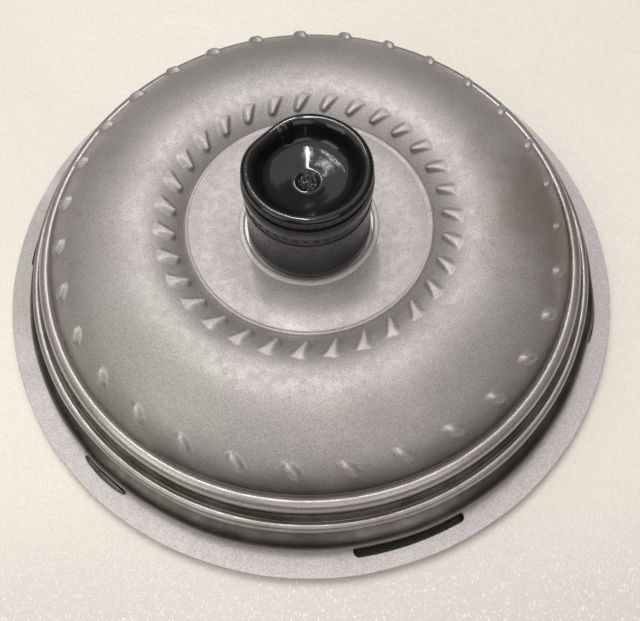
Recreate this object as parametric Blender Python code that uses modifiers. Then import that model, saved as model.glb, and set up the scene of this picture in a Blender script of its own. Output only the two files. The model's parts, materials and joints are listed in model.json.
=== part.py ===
"""Torque converter with a lock-up clutch, as separate pieces in metres.

The crankshaft axis is Z. The object stands on its six drive bosses, engine side down,
and the transmission side looks up. A piece that turns hangs from an empty on its axis.
"""

import math

import bmesh
import bpy
from mathutils import Vector

MM = 0.001
TAU = 2 * math.pi

# Fits
GAP = 0.3 * MM  # between pieces that touch
RUNNING = 0.9 * MM  # between pieces that turn against each other

# Fluid circuit, seen in section
TORUS_RADIUS = 77 * MM  # middle of the circuit, from the axis
SHELL_REACH = 36.4 * MM  # from the middle out to the seam
INNER_REACH = 23.5 * MM  # from the middle in to the valley round the centre disc
SHELL_RISE = 22.4 * MM  # crown of the impeller shell above the seam
SHELL_ROUNDNESS = 1.8  # exponent of the section, 2 would be an ellipse
INNER_DROP = 7.6 * MM  # crown down to the valley
INNER_BEND = 2.45  # exponent of the fall from crown to valley
SHEET = 3 * MM  # pressed steel of shell and cover

# Centre disc and pump hub
DISC_EDGE = 1.3 * MM  # width of the step from valley to disc
DISC_LIP = 0.9 * MM  # the disc's edge above the valley
DISC_DISH = 2 * MM  # the disc's fall from its edge to the hub
HUB_RADIUS = 24 * MM
HUB_WALL = 3.5 * MM
HUB_FLARE = 4.6 * MM  # the base outside the hub
HUB_LENGTH = 36.2 * MM  # above the disc
HUB_SHOULDER = 0.3 * MM  # the base's top above the disc
NOTCH_WIDTH = 8 * MM
NOTCH_DEPTH = 7 * MM

# Stepped rim
STEP_WIDTH = 5.6 * MM  # the shell's shoulder outside the seam
STEP_HEIGHT = 1.3 * MM
SKIRT_BOTTOM = 14.5 * MM  # skirt end below the seam
LIP_THICKNESS = 5 * MM  # the cover's thickened lip
LIP_TOP = 9 * MM  # lip top below the seam
SHOULDER_WIDTH = 6.4 * MM  # from the lip out to the cover's wall
WALL_HEIGHT = 11.2 * MM  # from the flange to the crease under the lip

# Engine side
FLANGE_STANDOFF = 3 * MM
FLANGE_THICKNESS = 2 * MM
FLANGE_WIDTH = 9.7 * MM  # outside the cover's wall
FLANGE_LAP = 18 * MM  # under the cover's floor
SLOT_COUNT = 3
SLOT_ANGLE = math.radians(-73.6)
SLOT_SPAN = math.radians(21.3)
SLOT_WIDTH = 5 * MM
SLOT_REACH = 3 * MM  # outside the cover's wall
BOSS_COUNT = 6
BOSS_RADIUS = 10 * MM
BOSS_HOLE = 4.2 * MM
BOSS_INSET = 14 * MM  # boss centre inside the flange's inner edge
PILOT_RADIUS = 20 * MM
PILOT_RECESS = 0.5 * MM
WELD_COUNT = 3
WELD_ANGLE = math.radians(-13.6)
WELD_SPAN = math.radians(10)
WELD_RADIUS = 1.6 * MM

# Blades
BLADE_COUNT = 31
TURBINE_BLADE_COUNT = 29
BLADE_THICKNESS = 1 * MM
BLADE_FIT = 1.1 * MM  # blade tip to shell
BLADE_SWEEP = math.radians(4)
CORE_REACH = 18.5 * MM
CORE_RISE = 8 * MM
CORE_THICKNESS = 1.4 * MM
RIM_GAP = 1.2 * MM  # between the two bladed wheels
TURBINE_SHEET = 1.6 * MM
TURBINE_DEPTH = 16 * MM

# Lock-up clutch and its damper
LOCKUP_GAP = 1.2 * MM  # released, lining to cover
LINING_THICKNESS = 1.6 * MM
LINING_WIDTH = 20 * MM
PISTON_THICKNESS = 2 * MM
DAMPER_ROOM = 4 * MM  # piston to turbine shell
RETAINER_SHEET = 1.2 * MM
SPRING_COUNT = 4
SPRING_RADIUS = 3.5 * MM  # of the coil, outside
SPRING_WIRE = 0.8 * MM  # wire radius
SPRING_SPAN = math.radians(28)
SPRING_TURNS = 5
SPRING_TRAVEL = math.radians(6)
PISTON_BORE = 20.6 * MM
SEAL_WIRE = 0.9 * MM

# Stator and its one-way clutch
SHAFT_RADIUS = 11 * MM  # turbine shaft
SHAFT_TEETH = 18
RACE_BORE = 15 * MM  # stator shaft
RACE_TEETH = 20
TOOTH = 0.9 * MM
INNER_RACE_RADIUS = 22 * MM
ROLLER_RADIUS = 4 * MM
ROLLER_COUNT = 6
OUTER_RACE_WALL = 6.5 * MM  # outside the rollers
CAM_LAND = 4 * MM  # how far the cam teeth reach in between the rollers
CAM_START = math.radians(-10.5)  # a pocket's two ends, from its roller
CAM_END = math.radians(24)
STATOR_HUB_WALL = 4 * MM
STATOR_BLADE_COUNT = 13
SHROUD_FIT = 1.1 * MM  # shroud to core ring
BLADE_END = 1.67 * MM  # from the shroud out to the turbine blades, at their shell
STATOR_BLADE_THICKNESS = 2.4 * MM
SHROUD_WALL = 2 * MM
PLATE_THICKNESS = 1.2 * MM
BEARING_RACE = 0.8 * MM
NEEDLE_RADIUS = 0.8 * MM
NEEDLE_COUNT = 12
BEARING_WIDTH = 9 * MM

# Transport cap
CAP_WALL = 1.6 * MM
CAP_FIT = 0.4 * MM
CAP_HEIGHT = 41.4 * MM
CAP_ROLL = 2 * MM  # radius of the rolled rim
CAP_BEAD = 0.6 * MM
CAP_BEAD_DROP = 8 * MM  # rim down to the bead round the outside
CAP_DEPTH = 8.6 * MM  # rim down to the edge of the floor
CAP_FALL = 2.6 * MM  # the floor's fall to its middle
CAP_FLOOR_RADIUS = 16.3 * MM
GATE_RADIUS = 4.3 * MM  # crater where the plastic was let in

# Facets
BODY_STEPS = 36
SMALL_STEPS = 24
FLANGE_STEPS = 60
ROUND_STEPS = 12

# Heights
FLANGE_TOP = FLANGE_STANDOFF + FLANGE_THICKNESS
FLOOR_BOTTOM = FLANGE_TOP + GAP
FLOOR_TOP = FLOOR_BOTTOM + SHEET
PISTON_BOTTOM = FLOOR_TOP + LOCKUP_GAP + LINING_THICKNESS + GAP
PISTON_TOP = PISTON_BOTTOM + PISTON_THICKNESS
TURBINE_BOTTOM = PISTON_TOP + DAMPER_ROOM
TURBINE_RIM = TURBINE_BOTTOM + TURBINE_DEPTH
SEAM = TURBINE_RIM + RIM_GAP / 2
IMPELLER_RIM = SEAM + RIM_GAP / 2
CROWN = SEAM + SHELL_RISE
VALLEY = CROWN - INNER_DROP
DISC_TOP = VALLEY + DISC_LIP
HUB_SEAT = DISC_TOP - DISC_DISH
HUB_BOTTOM = HUB_SEAT - SHEET - GAP
HUB_TOP = HUB_SEAT + HUB_LENGTH
BEARING_HEIGHT = 2 * (BEARING_RACE + NEEDLE_RADIUS + GAP)
TURBINE_HUB_TOP = TURBINE_BOTTOM + 6.2 * MM
STATOR_BOTTOM = TURBINE_HUB_TOP + BEARING_HEIGHT + 2 * GAP
STATOR_TOP = HUB_BOTTOM - BEARING_HEIGHT - 2 * GAP

# Radii
SEAM_RADIUS = TORUS_RADIUS + SHELL_REACH
SKIRT_RADIUS = SEAM_RADIUS + STEP_WIDTH
LIP_BORE = SKIRT_RADIUS + GAP
LIP_RADIUS = LIP_BORE + LIP_THICKNESS
WALL_RADIUS = LIP_RADIUS + SHOULDER_WIDTH - GAP
FLANGE_RADIUS = WALL_RADIUS + FLANGE_WIDTH
FLANGE_BORE = WALL_RADIUS - FLANGE_LAP
BOSS_CIRCLE = FLANGE_BORE - BOSS_INSET
DISC_RADIUS = TORUS_RADIUS - INNER_REACH - DISC_EDGE
HUB_BASE_RADIUS = HUB_RADIUS + HUB_FLARE
TURBINE_RADIUS = SEAM_RADIUS - SHEET - RUNNING
ROLLER_CIRCLE = INNER_RACE_RADIUS + GAP + ROLLER_RADIUS
CAM_RADIUS = ROLLER_CIRCLE + ROLLER_RADIUS + GAP
OUTER_RACE_RADIUS = CAM_RADIUS + OUTER_RACE_WALL
STATOR_BORE = OUTER_RACE_RADIUS + GAP
STATOR_HUB_RADIUS = STATOR_BORE + STATOR_HUB_WALL
TURBINE_FLANGE_RADIUS = STATOR_HUB_RADIUS + 3 * MM
SHROUD_BORE = TORUS_RADIUS - CORE_REACH - SHROUD_FIT - SHROUD_WALL
STATOR_BLADE_SPAN = SHROUD_BORE - STATOR_HUB_RADIUS
RETAINER_OUTER = SKIRT_RADIUS - SHEET - 1.4 * MM
SPRING_CIRCLE = RETAINER_OUTER - RETAINER_SHEET - GAP - SPRING_RADIUS


def clear_scene():
    """Remove whatever the scene holds."""
    for thing in list(bpy.data.objects):
        bpy.data.objects.remove(thing, do_unlink=True)


def make_collection(name, hidden=False):
    group = bpy.data.collections.new(name)
    bpy.context.scene.collection.children.link(group)
    group.hide_render = hidden
    return group


clear_scene()
PARTS = make_collection("torque_converter")
CUTTERS = make_collection("cutters", hidden=True)

FINISHES = {
    "shell_steel": ((0.42, 0.41, 0.41, 1), 0.42, 0.9),
    "flange_steel": ((0.62, 0.61, 0.62, 1), 0.5, 0.8),
    "weld_metal": ((0.20, 0.18, 0.16, 1), 0.45, 0.8),
    "machined_steel": ((0.60, 0.60, 0.60, 1), 0.28, 1.0),
    "blade_steel": ((0.50, 0.49, 0.46, 1), 0.38, 0.9),
    "cast_aluminium": ((0.74, 0.74, 0.73, 1), 0.5, 0.9),
    "friction_paper": ((0.30, 0.22, 0.13, 1), 0.9, 0.0),
    "spring_steel": ((0.24, 0.25, 0.28, 1), 0.35, 1.0),
    "bearing_steel": ((0.70, 0.70, 0.70, 1), 0.18, 1.0),
    "seal_rubber": ((0.05, 0.05, 0.05, 1), 0.6, 0.0),
    "cap_plastic": ((0.012, 0.012, 0.013, 1), 0.22, 0.0),
}


def paint(part, finish):
    """Give a piece its own material of one of the finishes."""
    colour, roughness, metallic = FINISHES[finish]
    material = bpy.data.materials.new(f"{part.name}_{finish}")
    material.use_nodes = True
    shader = material.node_tree.nodes["Principled BSDF"]
    shader.inputs["Base Color"].default_value = colour
    shader.inputs["Roughness"].default_value = roughness
    shader.inputs["Metallic"].default_value = metallic
    part.data.materials.clear()
    part.data.materials.append(material)


def place(name, data, finish=None, parent=None):
    """Add an object for a piece, or for a cutter when it has no finish."""
    part = bpy.data.objects.new(name, data)
    if finish is None:
        CUTTERS.objects.link(part)
        part.hide_render = True
        part.display_type = "WIRE"
    else:
        PARTS.objects.link(part)
        paint(part, finish)
    part.parent = parent
    return part


def axis_empty(name, parent=None, location=(0, 0, 0)):
    """An empty on a joint's axis, for the pieces that turn or slide on it."""
    empty = bpy.data.objects.new(name, None)
    PARTS.objects.link(empty)
    empty.parent = parent
    empty.location = location
    return empty


def arc(centre, reach, start, end, count):
    """Points of an elliptical arc in the (radius, height) plane, angles in degrees."""
    steps = [math.radians(start + (end - start) * i / count) for i in range(count + 1)]
    return [
        (centre[0] + reach[0] * math.cos(a), centre[1] + reach[1] * math.sin(a))
        for a in steps
    ]


def turned(name, outline, steps=BODY_STEPS, finish=None, parent=None, centre=None):
    """Turn a closed (radius, height) outline round Z, or round a centre (x, y)."""
    area = sum(
        a[0] * b[1] - b[0] * a[1] for a, b in zip(outline, outline[1:] + outline[:1])
    )
    points = outline if area < 0 else outline[::-1]
    solid_core = sum(r == 0 for r, _ in points) == 2
    if solid_core:
        while not (points[0][0] == 0 and points[-1][0] == 0):
            points = points[1:] + points[:1]
    mesh = bpy.data.meshes.new(name)
    edges = [(i, i + 1) for i in range(len(points) - 1)]
    if not solid_core:
        edges.append((len(points) - 1, 0))
    mesh.from_pydata([(r, 0, z) for r, z in points], edges, [])
    part = place(name, mesh, finish, parent)
    screw = part.modifiers.new("turn", "SCREW")
    screw.axis = "Z"
    screw.angle = TAU
    screw.steps = screw.render_steps = steps
    screw.use_merge_vertices = True
    screw.merge_threshold = 0.00001
    screw.use_smooth_shade = True
    if centre is not None:
        part.location = (centre[0], centre[1], 0)
    return part


def prism(name, outline, bottom, top, finish=None, parent=None):
    """A flat (x, y) outline, anticlockwise, raised from bottom to top."""
    build = bmesh.new()
    face = build.faces.new([build.verts.new((x, y, bottom)) for x, y in outline])
    raised = bmesh.ops.extrude_face_region(build, geom=[face])
    moved = [v for v in raised["geom"] if isinstance(v, bmesh.types.BMVert)]
    bmesh.ops.translate(build, vec=Vector((0, 0, top - bottom)), verts=moved)
    bmesh.ops.recalc_face_normals(build, faces=build.faces)
    mesh = bpy.data.meshes.new(name)
    build.to_mesh(mesh)
    build.free()
    return place(name, mesh, finish, parent)


def boolean(part, other, operation):
    step = part.modifiers.new(f"{operation.lower()}_{other.name}", "BOOLEAN")
    step.operation = operation
    step.object = other
    return part


def polar(radius, angle):
    return radius * math.cos(angle), radius * math.sin(angle)


def sector(inner, outer, middle, span, count=6):
    """Anticlockwise outline of a ring's sector."""
    angles = [middle + span * (i / count - 0.5) for i in range(count + 1)]
    outside = [polar(outer, a) for a in angles]
    return outside + [polar(inner, a) for a in reversed(angles)]


def splined(radius, teeth, depth):
    """Anticlockwise outline of a bore with square-cut spline teeth."""
    outline = []
    for k in range(teeth):
        for share, reach in ((0, 0), (0.4, 0), (0.5, depth), (0.9, depth)):
            outline.append(polar(radius + reach, TAU * (k + share) / teeth))
    return outline


def tube(name, points, radius, finish, parent=None, resolution=1, closed=False):
    """A round bar along points."""
    curve = bpy.data.curves.new(name, "CURVE")
    curve.dimensions = "3D"
    spline = curve.splines.new("POLY")
    spline.points.add(len(points) - 1)
    for point, position in zip(spline.points, points):
        point.co = (*position, 1)
    spline.use_cyclic_u = closed
    curve.bevel_depth = radius
    curve.bevel_resolution = resolution
    curve.use_fill_caps = not closed
    return place(name, curve, finish, parent)


def ring_outline(inner, outer, bottom, top):
    return [(inner, bottom), (outer, bottom), (outer, top), (inner, top)]


# Sections of the fluid circuit


def shell_outside(inset, count):
    """The impeller shell's section from the seam to the crown, inset into the circuit."""
    power = 2 / SHELL_ROUNDNESS
    points = []
    for i in range(count + 1):
        a = math.pi / 2 * i / count
        radius = TORUS_RADIUS + (SHELL_REACH - inset) * math.cos(a) ** power
        points.append((radius, SEAM + (SHELL_RISE - inset) * math.sin(a) ** power))
    return points


def shell_inside(inset, count, share=1.0):
    """The same section from the crown to the valley, or to a share of that way."""
    points = []
    for i in range(count + 1):
        u = share * i / count
        height = CROWN - inset - INNER_DROP * u**INNER_BEND
        points.append((TORUS_RADIUS - INNER_REACH * u, height))
    return points


def turbine_section(inset, count):
    """The turbine shell's section from its rim round to its inner flange."""
    depth = TURBINE_DEPTH - inset
    outer = arc(
        (TORUS_RADIUS, TURBINE_RIM),
        (TURBINE_RADIUS - TORUS_RADIUS - inset, depth),
        0,
        -90,
        count,
    )
    return outer + turbine_inside(inset, count, 1)


def turbine_inside(inset, count, share):
    """The same section from its lowest point in to the flange, or to a share of that way."""
    reach = TORUS_RADIUS - TURBINE_FLANGE_RADIUS
    rise = TURBINE_HUB_TOP - 1.9 * MM - TURBINE_BOTTOM
    points = []
    for i in range(1, count + 1):
        u = share * i / count
        height = TURBINE_BOTTOM + inset + rise * (3 * u**2 - 2 * u**3)
        points.append((TORUS_RADIUS - reach * u, height))
    return points


# Engine side


def front_cover():
    """Pressed cup: floor, wall, shoulder and the thickened lip round the shell's skirt."""
    crease = FLANGE_TOP + WALL_HEIGHT
    lip_top = SEAM - LIP_TOP
    middle = (crease + lip_top) / 2
    corner = 4 * MM
    outside = [(0, FLOOR_BOTTOM)]
    outside += arc(
        (WALL_RADIUS - corner, FLOOR_BOTTOM + corner), (corner, corner), -90, 0, 2
    )
    outside += arc(
        (WALL_RADIUS - 4.5 * MM, crease - 5.4 * MM), (4.5 * MM, 5.4 * MM), 15, 75, 3
    )
    outside.append((LIP_RADIUS - 0.6 * MM, crease))
    outside += arc(
        (LIP_RADIUS - 4 * MM, middle), (4 * MM, (lip_top - crease) / 2), -40, 90, 5
    )
    inside = [
        (LIP_BORE, lip_top - 0.4 * MM),
        (LIP_BORE, crease - SHEET),
        (LIP_RADIUS, crease - SHEET),
    ]
    inner_corner = (WALL_RADIUS - SHEET, FLOOR_TOP + 2 * MM)
    inside += [inner_corner, (inner_corner[0] - 2 * MM, FLOOR_TOP), (0, FLOOR_TOP)]
    return turned("front_cover", outside + inside, BODY_STEPS, "shell_steel")


def mounting_flange():
    outline = ring_outline(FLANGE_BORE, FLANGE_RADIUS, FLANGE_STANDOFF, FLANGE_TOP)
    flange = turned("mounting_flange", outline, FLANGE_STEPS, "flange_steel")
    for k in range(SLOT_COUNT):
        outer = WALL_RADIUS + SLOT_REACH
        slot = sector(
            outer - SLOT_WIDTH, outer, SLOT_ANGLE + TAU * k / SLOT_COUNT, SLOT_SPAN, 8
        )
        cutter = prism(
            f"slot_cutter_{k + 1}", slot, FLANGE_STANDOFF - 2 * MM, FLANGE_TOP + 2 * MM
        )
        boolean(flange, cutter, "DIFFERENCE")
    return flange


def drive_boss(number):
    """Threaded block that the flex plate bolts to, with a chamfered foot."""
    angle = SLOT_ANGLE + TAU * (number - 0.5) / BOSS_COUNT
    top = FLOOR_BOTTOM - GAP
    chamfer = 1 * MM
    outline = [
        (BOSS_HOLE, top),
        (BOSS_RADIUS, top),
        (BOSS_RADIUS, chamfer),
        (BOSS_RADIUS - chamfer, 0),
        (BOSS_HOLE, 0),
    ]
    centre = polar(BOSS_CIRCLE, angle)
    return turned(
        f"drive_boss_{number}", outline, ROUND_STEPS, "machined_steel", centre=centre
    )


def crank_pilot():
    chamfer = 1 * MM
    outline = [
        (0, FLOOR_BOTTOM - GAP),
        (PILOT_RADIUS, FLOOR_BOTTOM - GAP),
        (PILOT_RADIUS, PILOT_RECESS + chamfer),
        (PILOT_RADIUS - chamfer, PILOT_RECESS),
        (0, PILOT_RECESS),
    ]
    return turned("crank_pilot", outline, BODY_STEPS, "machined_steel")


def flange_weld(number):
    """Fillet bead in the corner between the cover's wall and the flange."""
    middle = WELD_ANGLE + TAU * (number - 1) / WELD_COUNT
    radius = WALL_RADIUS + GAP + WELD_RADIUS
    height = FLANGE_TOP + GAP + WELD_RADIUS
    points = [
        (*polar(radius, middle + WELD_SPAN * (i / 6 - 0.5)), height) for i in range(7)
    ]
    return tube(f"flange_weld_{number}", points, WELD_RADIUS, "weld_metal")


# Impeller, fixed to the cover


def impeller_shell():
    """Pressed half torus with the centre disc inside it and the stepped skirt outside."""
    outside = [(SKIRT_RADIUS, SEAM - SKIRT_BOTTOM)]
    step = (STEP_WIDTH, 4.3 * MM)
    outside += arc(
        (SEAM_RADIUS, SEAM + STEP_HEIGHT - step[1]), step, 0, 65, 3
    )
    outside += [(SEAM_RADIUS + 0.9 * MM, SEAM + STEP_HEIGHT)]
    outside += shell_outside(0, 6)
    outside += shell_inside(0, 4)[1:]
    outside += [(DISC_RADIUS, DISC_TOP)]
    hole = HUB_BASE_RADIUS + GAP
    outside += [(hole, HUB_SEAT)]
    inside = [(hole, HUB_SEAT - SHEET), (DISC_RADIUS, DISC_TOP - SHEET)]
    inside += shell_inside(SHEET, 2)[::-1]
    inside += shell_outside(SHEET, 4)[-2::-1]
    inside += [
        (SKIRT_RADIUS - SHEET, SEAM - 3.5 * MM),
        (SKIRT_RADIUS - SHEET, SEAM - SKIRT_BOTTOM),
    ]
    return turned("impeller_shell", outside + inside, BODY_STEPS, "shell_steel")


def closing_weld():
    """Bead that joins the cover's lip to the shell's skirt, all the way round."""
    base = SEAM - LIP_TOP + GAP
    outline = [
        (LIP_BORE, base),
        (LIP_RADIUS - 3.4 * MM, base),
        (LIP_RADIUS - 3.8 * MM, base + 1.2 * MM),
        (LIP_BORE + 0.5 * MM, base + 2.4 * MM),
        (LIP_BORE, base + 3.4 * MM),
    ]
    return turned("closing_weld", outline, BODY_STEPS, "weld_metal")


def blade_sheet(name, outer, core, count, sweep, finish, parent):
    """Blades between two curves of (radius, height) points, each a thin bent sheet."""
    verts = []
    faces = []
    stations = len(outer)
    for k in range(count):
        base = len(verts)
        for i, (wall, hub) in enumerate(zip(outer, core)):
            angle = TAU * (k + 0.5) / count + sweep * (i / (stations - 1) - 0.5) ** 2 * 2
            for radius, height in (wall, hub):
                verts.append((*polar(radius, angle), height))
        for i in range(stations - 1):
            corner = base + 2 * i
            faces.append((corner, corner + 1, corner + 3, corner + 2))
    mesh = bpy.data.meshes.new(name)
    mesh.from_pydata(verts, [], faces)
    part = place(name, mesh, finish, parent)
    solidify = part.modifiers.new("thickness", "SOLIDIFY")
    solidify.thickness = BLADE_THICKNESS
    solidify.offset = 0
    return part


def core_ring(name, rim, rise, steps):
    """Half ring inside the blades, opening towards the other wheel."""
    outer = arc((TORUS_RADIUS, rim), (CORE_REACH, rise), 0, 180, 3)
    thin = CORE_THICKNESS if rise > 0 else -CORE_THICKNESS
    inner = arc(
        (TORUS_RADIUS, rim), (CORE_REACH - CORE_THICKNESS, rise - thin), 180, 0, 3
    )
    return turned(name, outer + inner, steps)


def core_edge(rim, rise, count):
    """Where the blades run into the middle of the core ring's wall."""
    sink = CORE_THICKNESS / 2
    reach = (CORE_REACH - sink, rise - math.copysign(sink, rise))
    points = arc((TORUS_RADIUS, rim), reach, 0, 180, count)
    return [(r, z + math.copysign(GAP, rise) * (abs(z - rim) < GAP)) for r, z in points]


def impeller_blade_ring():
    inset = SHEET + BLADE_FIT
    wall = shell_outside(inset, 2) + shell_inside(inset, 1, 0.85)[1:]
    wall[0] = (wall[0][0], IMPELLER_RIM + GAP)
    part = blade_sheet(
        "impeller_blade_ring",
        wall,
        core_edge(IMPELLER_RIM, CORE_RISE, 3),
        BLADE_COUNT,
        BLADE_SWEEP,
        "blade_steel",
        None,
    )
    core = core_ring("impeller_core", IMPELLER_RIM, CORE_RISE, BLADE_COUNT)
    return boolean(part, core, "UNION")


def pump_hub():
    """Flanged tube that drives the oil pump through two notches in its end."""
    bore = HUB_RADIUS - HUB_WALL
    chamfer = 1.2 * MM
    seat = HUB_SEAT + HUB_SHOULDER
    outline = [
        (bore, HUB_BOTTOM),
        (HUB_BASE_RADIUS, HUB_BOTTOM),
        (HUB_BASE_RADIUS, seat),
        (HUB_RADIUS, seat),
        (HUB_RADIUS, HUB_TOP - chamfer),
        (HUB_RADIUS - chamfer, HUB_TOP),
        (bore, HUB_TOP),
    ]
    hub = turned("pump_hub", outline, BODY_STEPS, "machined_steel")
    reach = HUB_RADIUS + 5 * MM
    half = NOTCH_WIDTH / 2
    bar = [(-half, -reach), (half, -reach), (half, reach), (-half, reach)]
    cutter = prism("notch_cutter", bar, HUB_TOP - NOTCH_DEPTH, HUB_TOP + 5 * MM)
    return boolean(hub, cutter, "DIFFERENCE")


def hub_weld():
    """Low bead over the joint between the hub's base and the centre disc."""
    base = HUB_SEAT + HUB_SHOULDER + GAP
    outline = arc((HUB_BASE_RADIUS + GAP / 2, base), (1.3 * MM, 0.8 * MM), 0, 180, 4)
    return turned("hub_weld", outline, BODY_STEPS, "weld_metal")


def cover_thrust_washer():
    bottom = FLOOR_TOP + GAP
    outline = ring_outline(SHAFT_RADIUS + 2 * MM, PISTON_BORE - 2 * MM, bottom, bottom + 1 * MM)
    return turned("cover_thrust_washer", outline, SMALL_STEPS, "friction_paper")


# Turbine


def turbine_shell(parent):
    count = 3
    outside = turbine_section(0, count)
    inside = turbine_section(TURBINE_SHEET, count)
    rim = [(inside[0][0], TURBINE_RIM), (outside[0][0], TURBINE_RIM)]
    flange = INNER_RACE_RADIUS + 2 * MM
    tail = [(flange, outside[-1][1]), (flange, inside[-1][1])]
    outline = rim[1:] + outside[1:] + tail + inside[:0:-1] + rim[:1]
    return turned("turbine_shell", outline, BODY_STEPS, "blade_steel", parent)


def turbine_blade_ring(parent):
    inset = TURBINE_SHEET + BLADE_FIT
    end = SHROUD_BORE + SHROUD_WALL + BLADE_END
    share = (TORUS_RADIUS - end) / (TORUS_RADIUS - TURBINE_FLANGE_RADIUS)
    wall = turbine_section(inset, 2)[:3] + turbine_inside(inset, 1, share)
    wall[0] = (wall[0][0], TURBINE_RIM - GAP)
    edge = core_edge(TURBINE_RIM, -CORE_RISE, 3)
    part = blade_sheet(
        "turbine_blade_ring",
        wall,
        edge,
        TURBINE_BLADE_COUNT,
        -2 * BLADE_SWEEP,
        "blade_steel",
        parent,
    )
    core = core_ring("turbine_core", TURBINE_RIM, -CORE_RISE, TURBINE_BLADE_COUNT)
    return boolean(part, core, "UNION")


def turbine_hub(parent):
    """Splined hub under the shell's inner flange, with a barrel that the piston slides on."""
    bottom = FLOOR_TOP + 1 * MM + 2 * GAP
    barrel = PISTON_BORE - GAP
    seat = TURBINE_HUB_TOP - 1.9 * MM - GAP
    plate = seat - 2.4 * MM
    outline = [
        (SHAFT_RADIUS, bottom),
        (barrel, bottom),
        (barrel, plate),
        (STATOR_HUB_RADIUS - 4 * MM, plate),
        (STATOR_HUB_RADIUS - 4 * MM, seat),
        (INNER_RACE_RADIUS + 1.6 * MM, seat),
        (INNER_RACE_RADIUS + 1.6 * MM, TURBINE_HUB_TOP),
        (SHAFT_RADIUS, TURBINE_HUB_TOP),
    ]
    hub = turned("turbine_hub", outline, BODY_STEPS, "machined_steel", parent)
    teeth = splined(SHAFT_RADIUS, SHAFT_TEETH, TOOTH)
    cutter = prism("shaft_spline_cutter", teeth, bottom - 5 * MM, TURBINE_HUB_TOP + 5 * MM)
    return boolean(hub, cutter, "DIFFERENCE")


def damper_drive_ring(parent):
    """Ring on the back of the turbine shell, whose tabs reach out between the springs."""
    top = TURBINE_BOTTOM + 0.3 * MM
    bottom = top - 1.4 * MM
    inner = TORUS_RADIUS + 11 * MM
    outer = SPRING_CIRCLE - SPRING_RADIUS - 3 * MM
    ring = turned(
        "damper_drive_ring", ring_outline(inner, outer, bottom, top), BODY_STEPS,
        "spring_steel", parent,
    )
    pitch = TAU / SPRING_COUNT
    span = pitch - SPRING_SPAN - 3 * SPRING_TRAVEL
    for k in range(SPRING_COUNT):
        tab = sector(outer - 2 * MM, SPRING_CIRCLE + 2 * MM, pitch * (k + 0.5), span, 6)
        boolean(ring, prism(f"damper_tab_{k + 1}", tab, bottom, top), "UNION")
    return ring


# Lock-up piston and damper


def lockup_piston(parent):
    """Pressed disc with a neck round the turbine hub."""
    neck = PISTON_BORE + 2 * MM
    outer = RETAINER_OUTER + 1.2 * MM
    outline = [
        (PISTON_BORE, PISTON_BOTTOM - 1.5 * MM),
        (neck, PISTON_BOTTOM - 1.5 * MM),
        (neck + 1.5 * MM, PISTON_BOTTOM),
        (outer, PISTON_BOTTOM),
        (outer, PISTON_TOP),
        (neck, PISTON_TOP),
        (neck, PISTON_TOP + 1.6 * MM),
        (PISTON_BORE, PISTON_TOP + 1.6 * MM),
        (PISTON_BORE, PISTON_TOP - 0.2 * MM),
        (PISTON_BORE + 1.2 * MM, PISTON_TOP - 0.2 * MM),
        (PISTON_BORE + 1.2 * MM, PISTON_BOTTOM + 0.2 * MM),
        (PISTON_BORE, PISTON_BOTTOM + 0.2 * MM),
    ]
    return turned("lockup_piston", outline, BODY_STEPS, "blade_steel", parent)


def piston_seal(parent):
    middle = (PISTON_BORE + 0.45 * MM, (PISTON_TOP + PISTON_BOTTOM) / 2)
    outline = arc(middle, (0.45 * MM, 0.55 * MM), 0, 360, 4)[:-1]
    return turned("piston_seal", outline, SMALL_STEPS, "seal_rubber", parent)


def friction_lining(parent):
    outer = RETAINER_OUTER + 0.4 * MM
    top = PISTON_BOTTOM - GAP
    outline = ring_outline(outer - LINING_WIDTH, outer, top - LINING_THICKNESS, top)
    return turned("friction_lining", outline, BODY_STEPS, "friction_paper", parent)


def spring_retainer(parent):
    """Angle ring on the piston that holds the springs in against their throw."""
    bottom = PISTON_TOP + GAP
    outline = [
        (SPRING_CIRCLE - SPRING_RADIUS, bottom),
        (RETAINER_OUTER, bottom),
        (RETAINER_OUTER, bottom + 7 * MM),
        (RETAINER_OUTER - RETAINER_SHEET, bottom + 7 * MM),
        (RETAINER_OUTER - RETAINER_SHEET, bottom + RETAINER_SHEET),
        (SPRING_CIRCLE - SPRING_RADIUS, bottom + RETAINER_SHEET),
    ]
    return turned("spring_retainer", outline, BODY_STEPS, "spring_steel", parent)


def damper_spring(number, parent):
    """Coil whose middle line is an arc round the converter's axis."""
    coil = SPRING_RADIUS - SPRING_WIRE
    height = PISTON_TOP + GAP + RETAINER_SHEET + GAP + SPRING_RADIUS
    middle = TAU * (number - 1) / SPRING_COUNT
    count = SPRING_TURNS * 7
    points = []
    for i in range(count + 1):
        along = middle + SPRING_SPAN * (i / count - 0.5)
        turn = TAU * SPRING_TURNS * i / count
        radius = SPRING_CIRCLE + coil * math.cos(turn)
        points.append((*polar(radius, along), height + coil * math.sin(turn)))
    return tube(f"damper_spring_{number}", points, SPRING_WIRE, "spring_steel", parent, 0)


# Stator and one-way clutch


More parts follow.
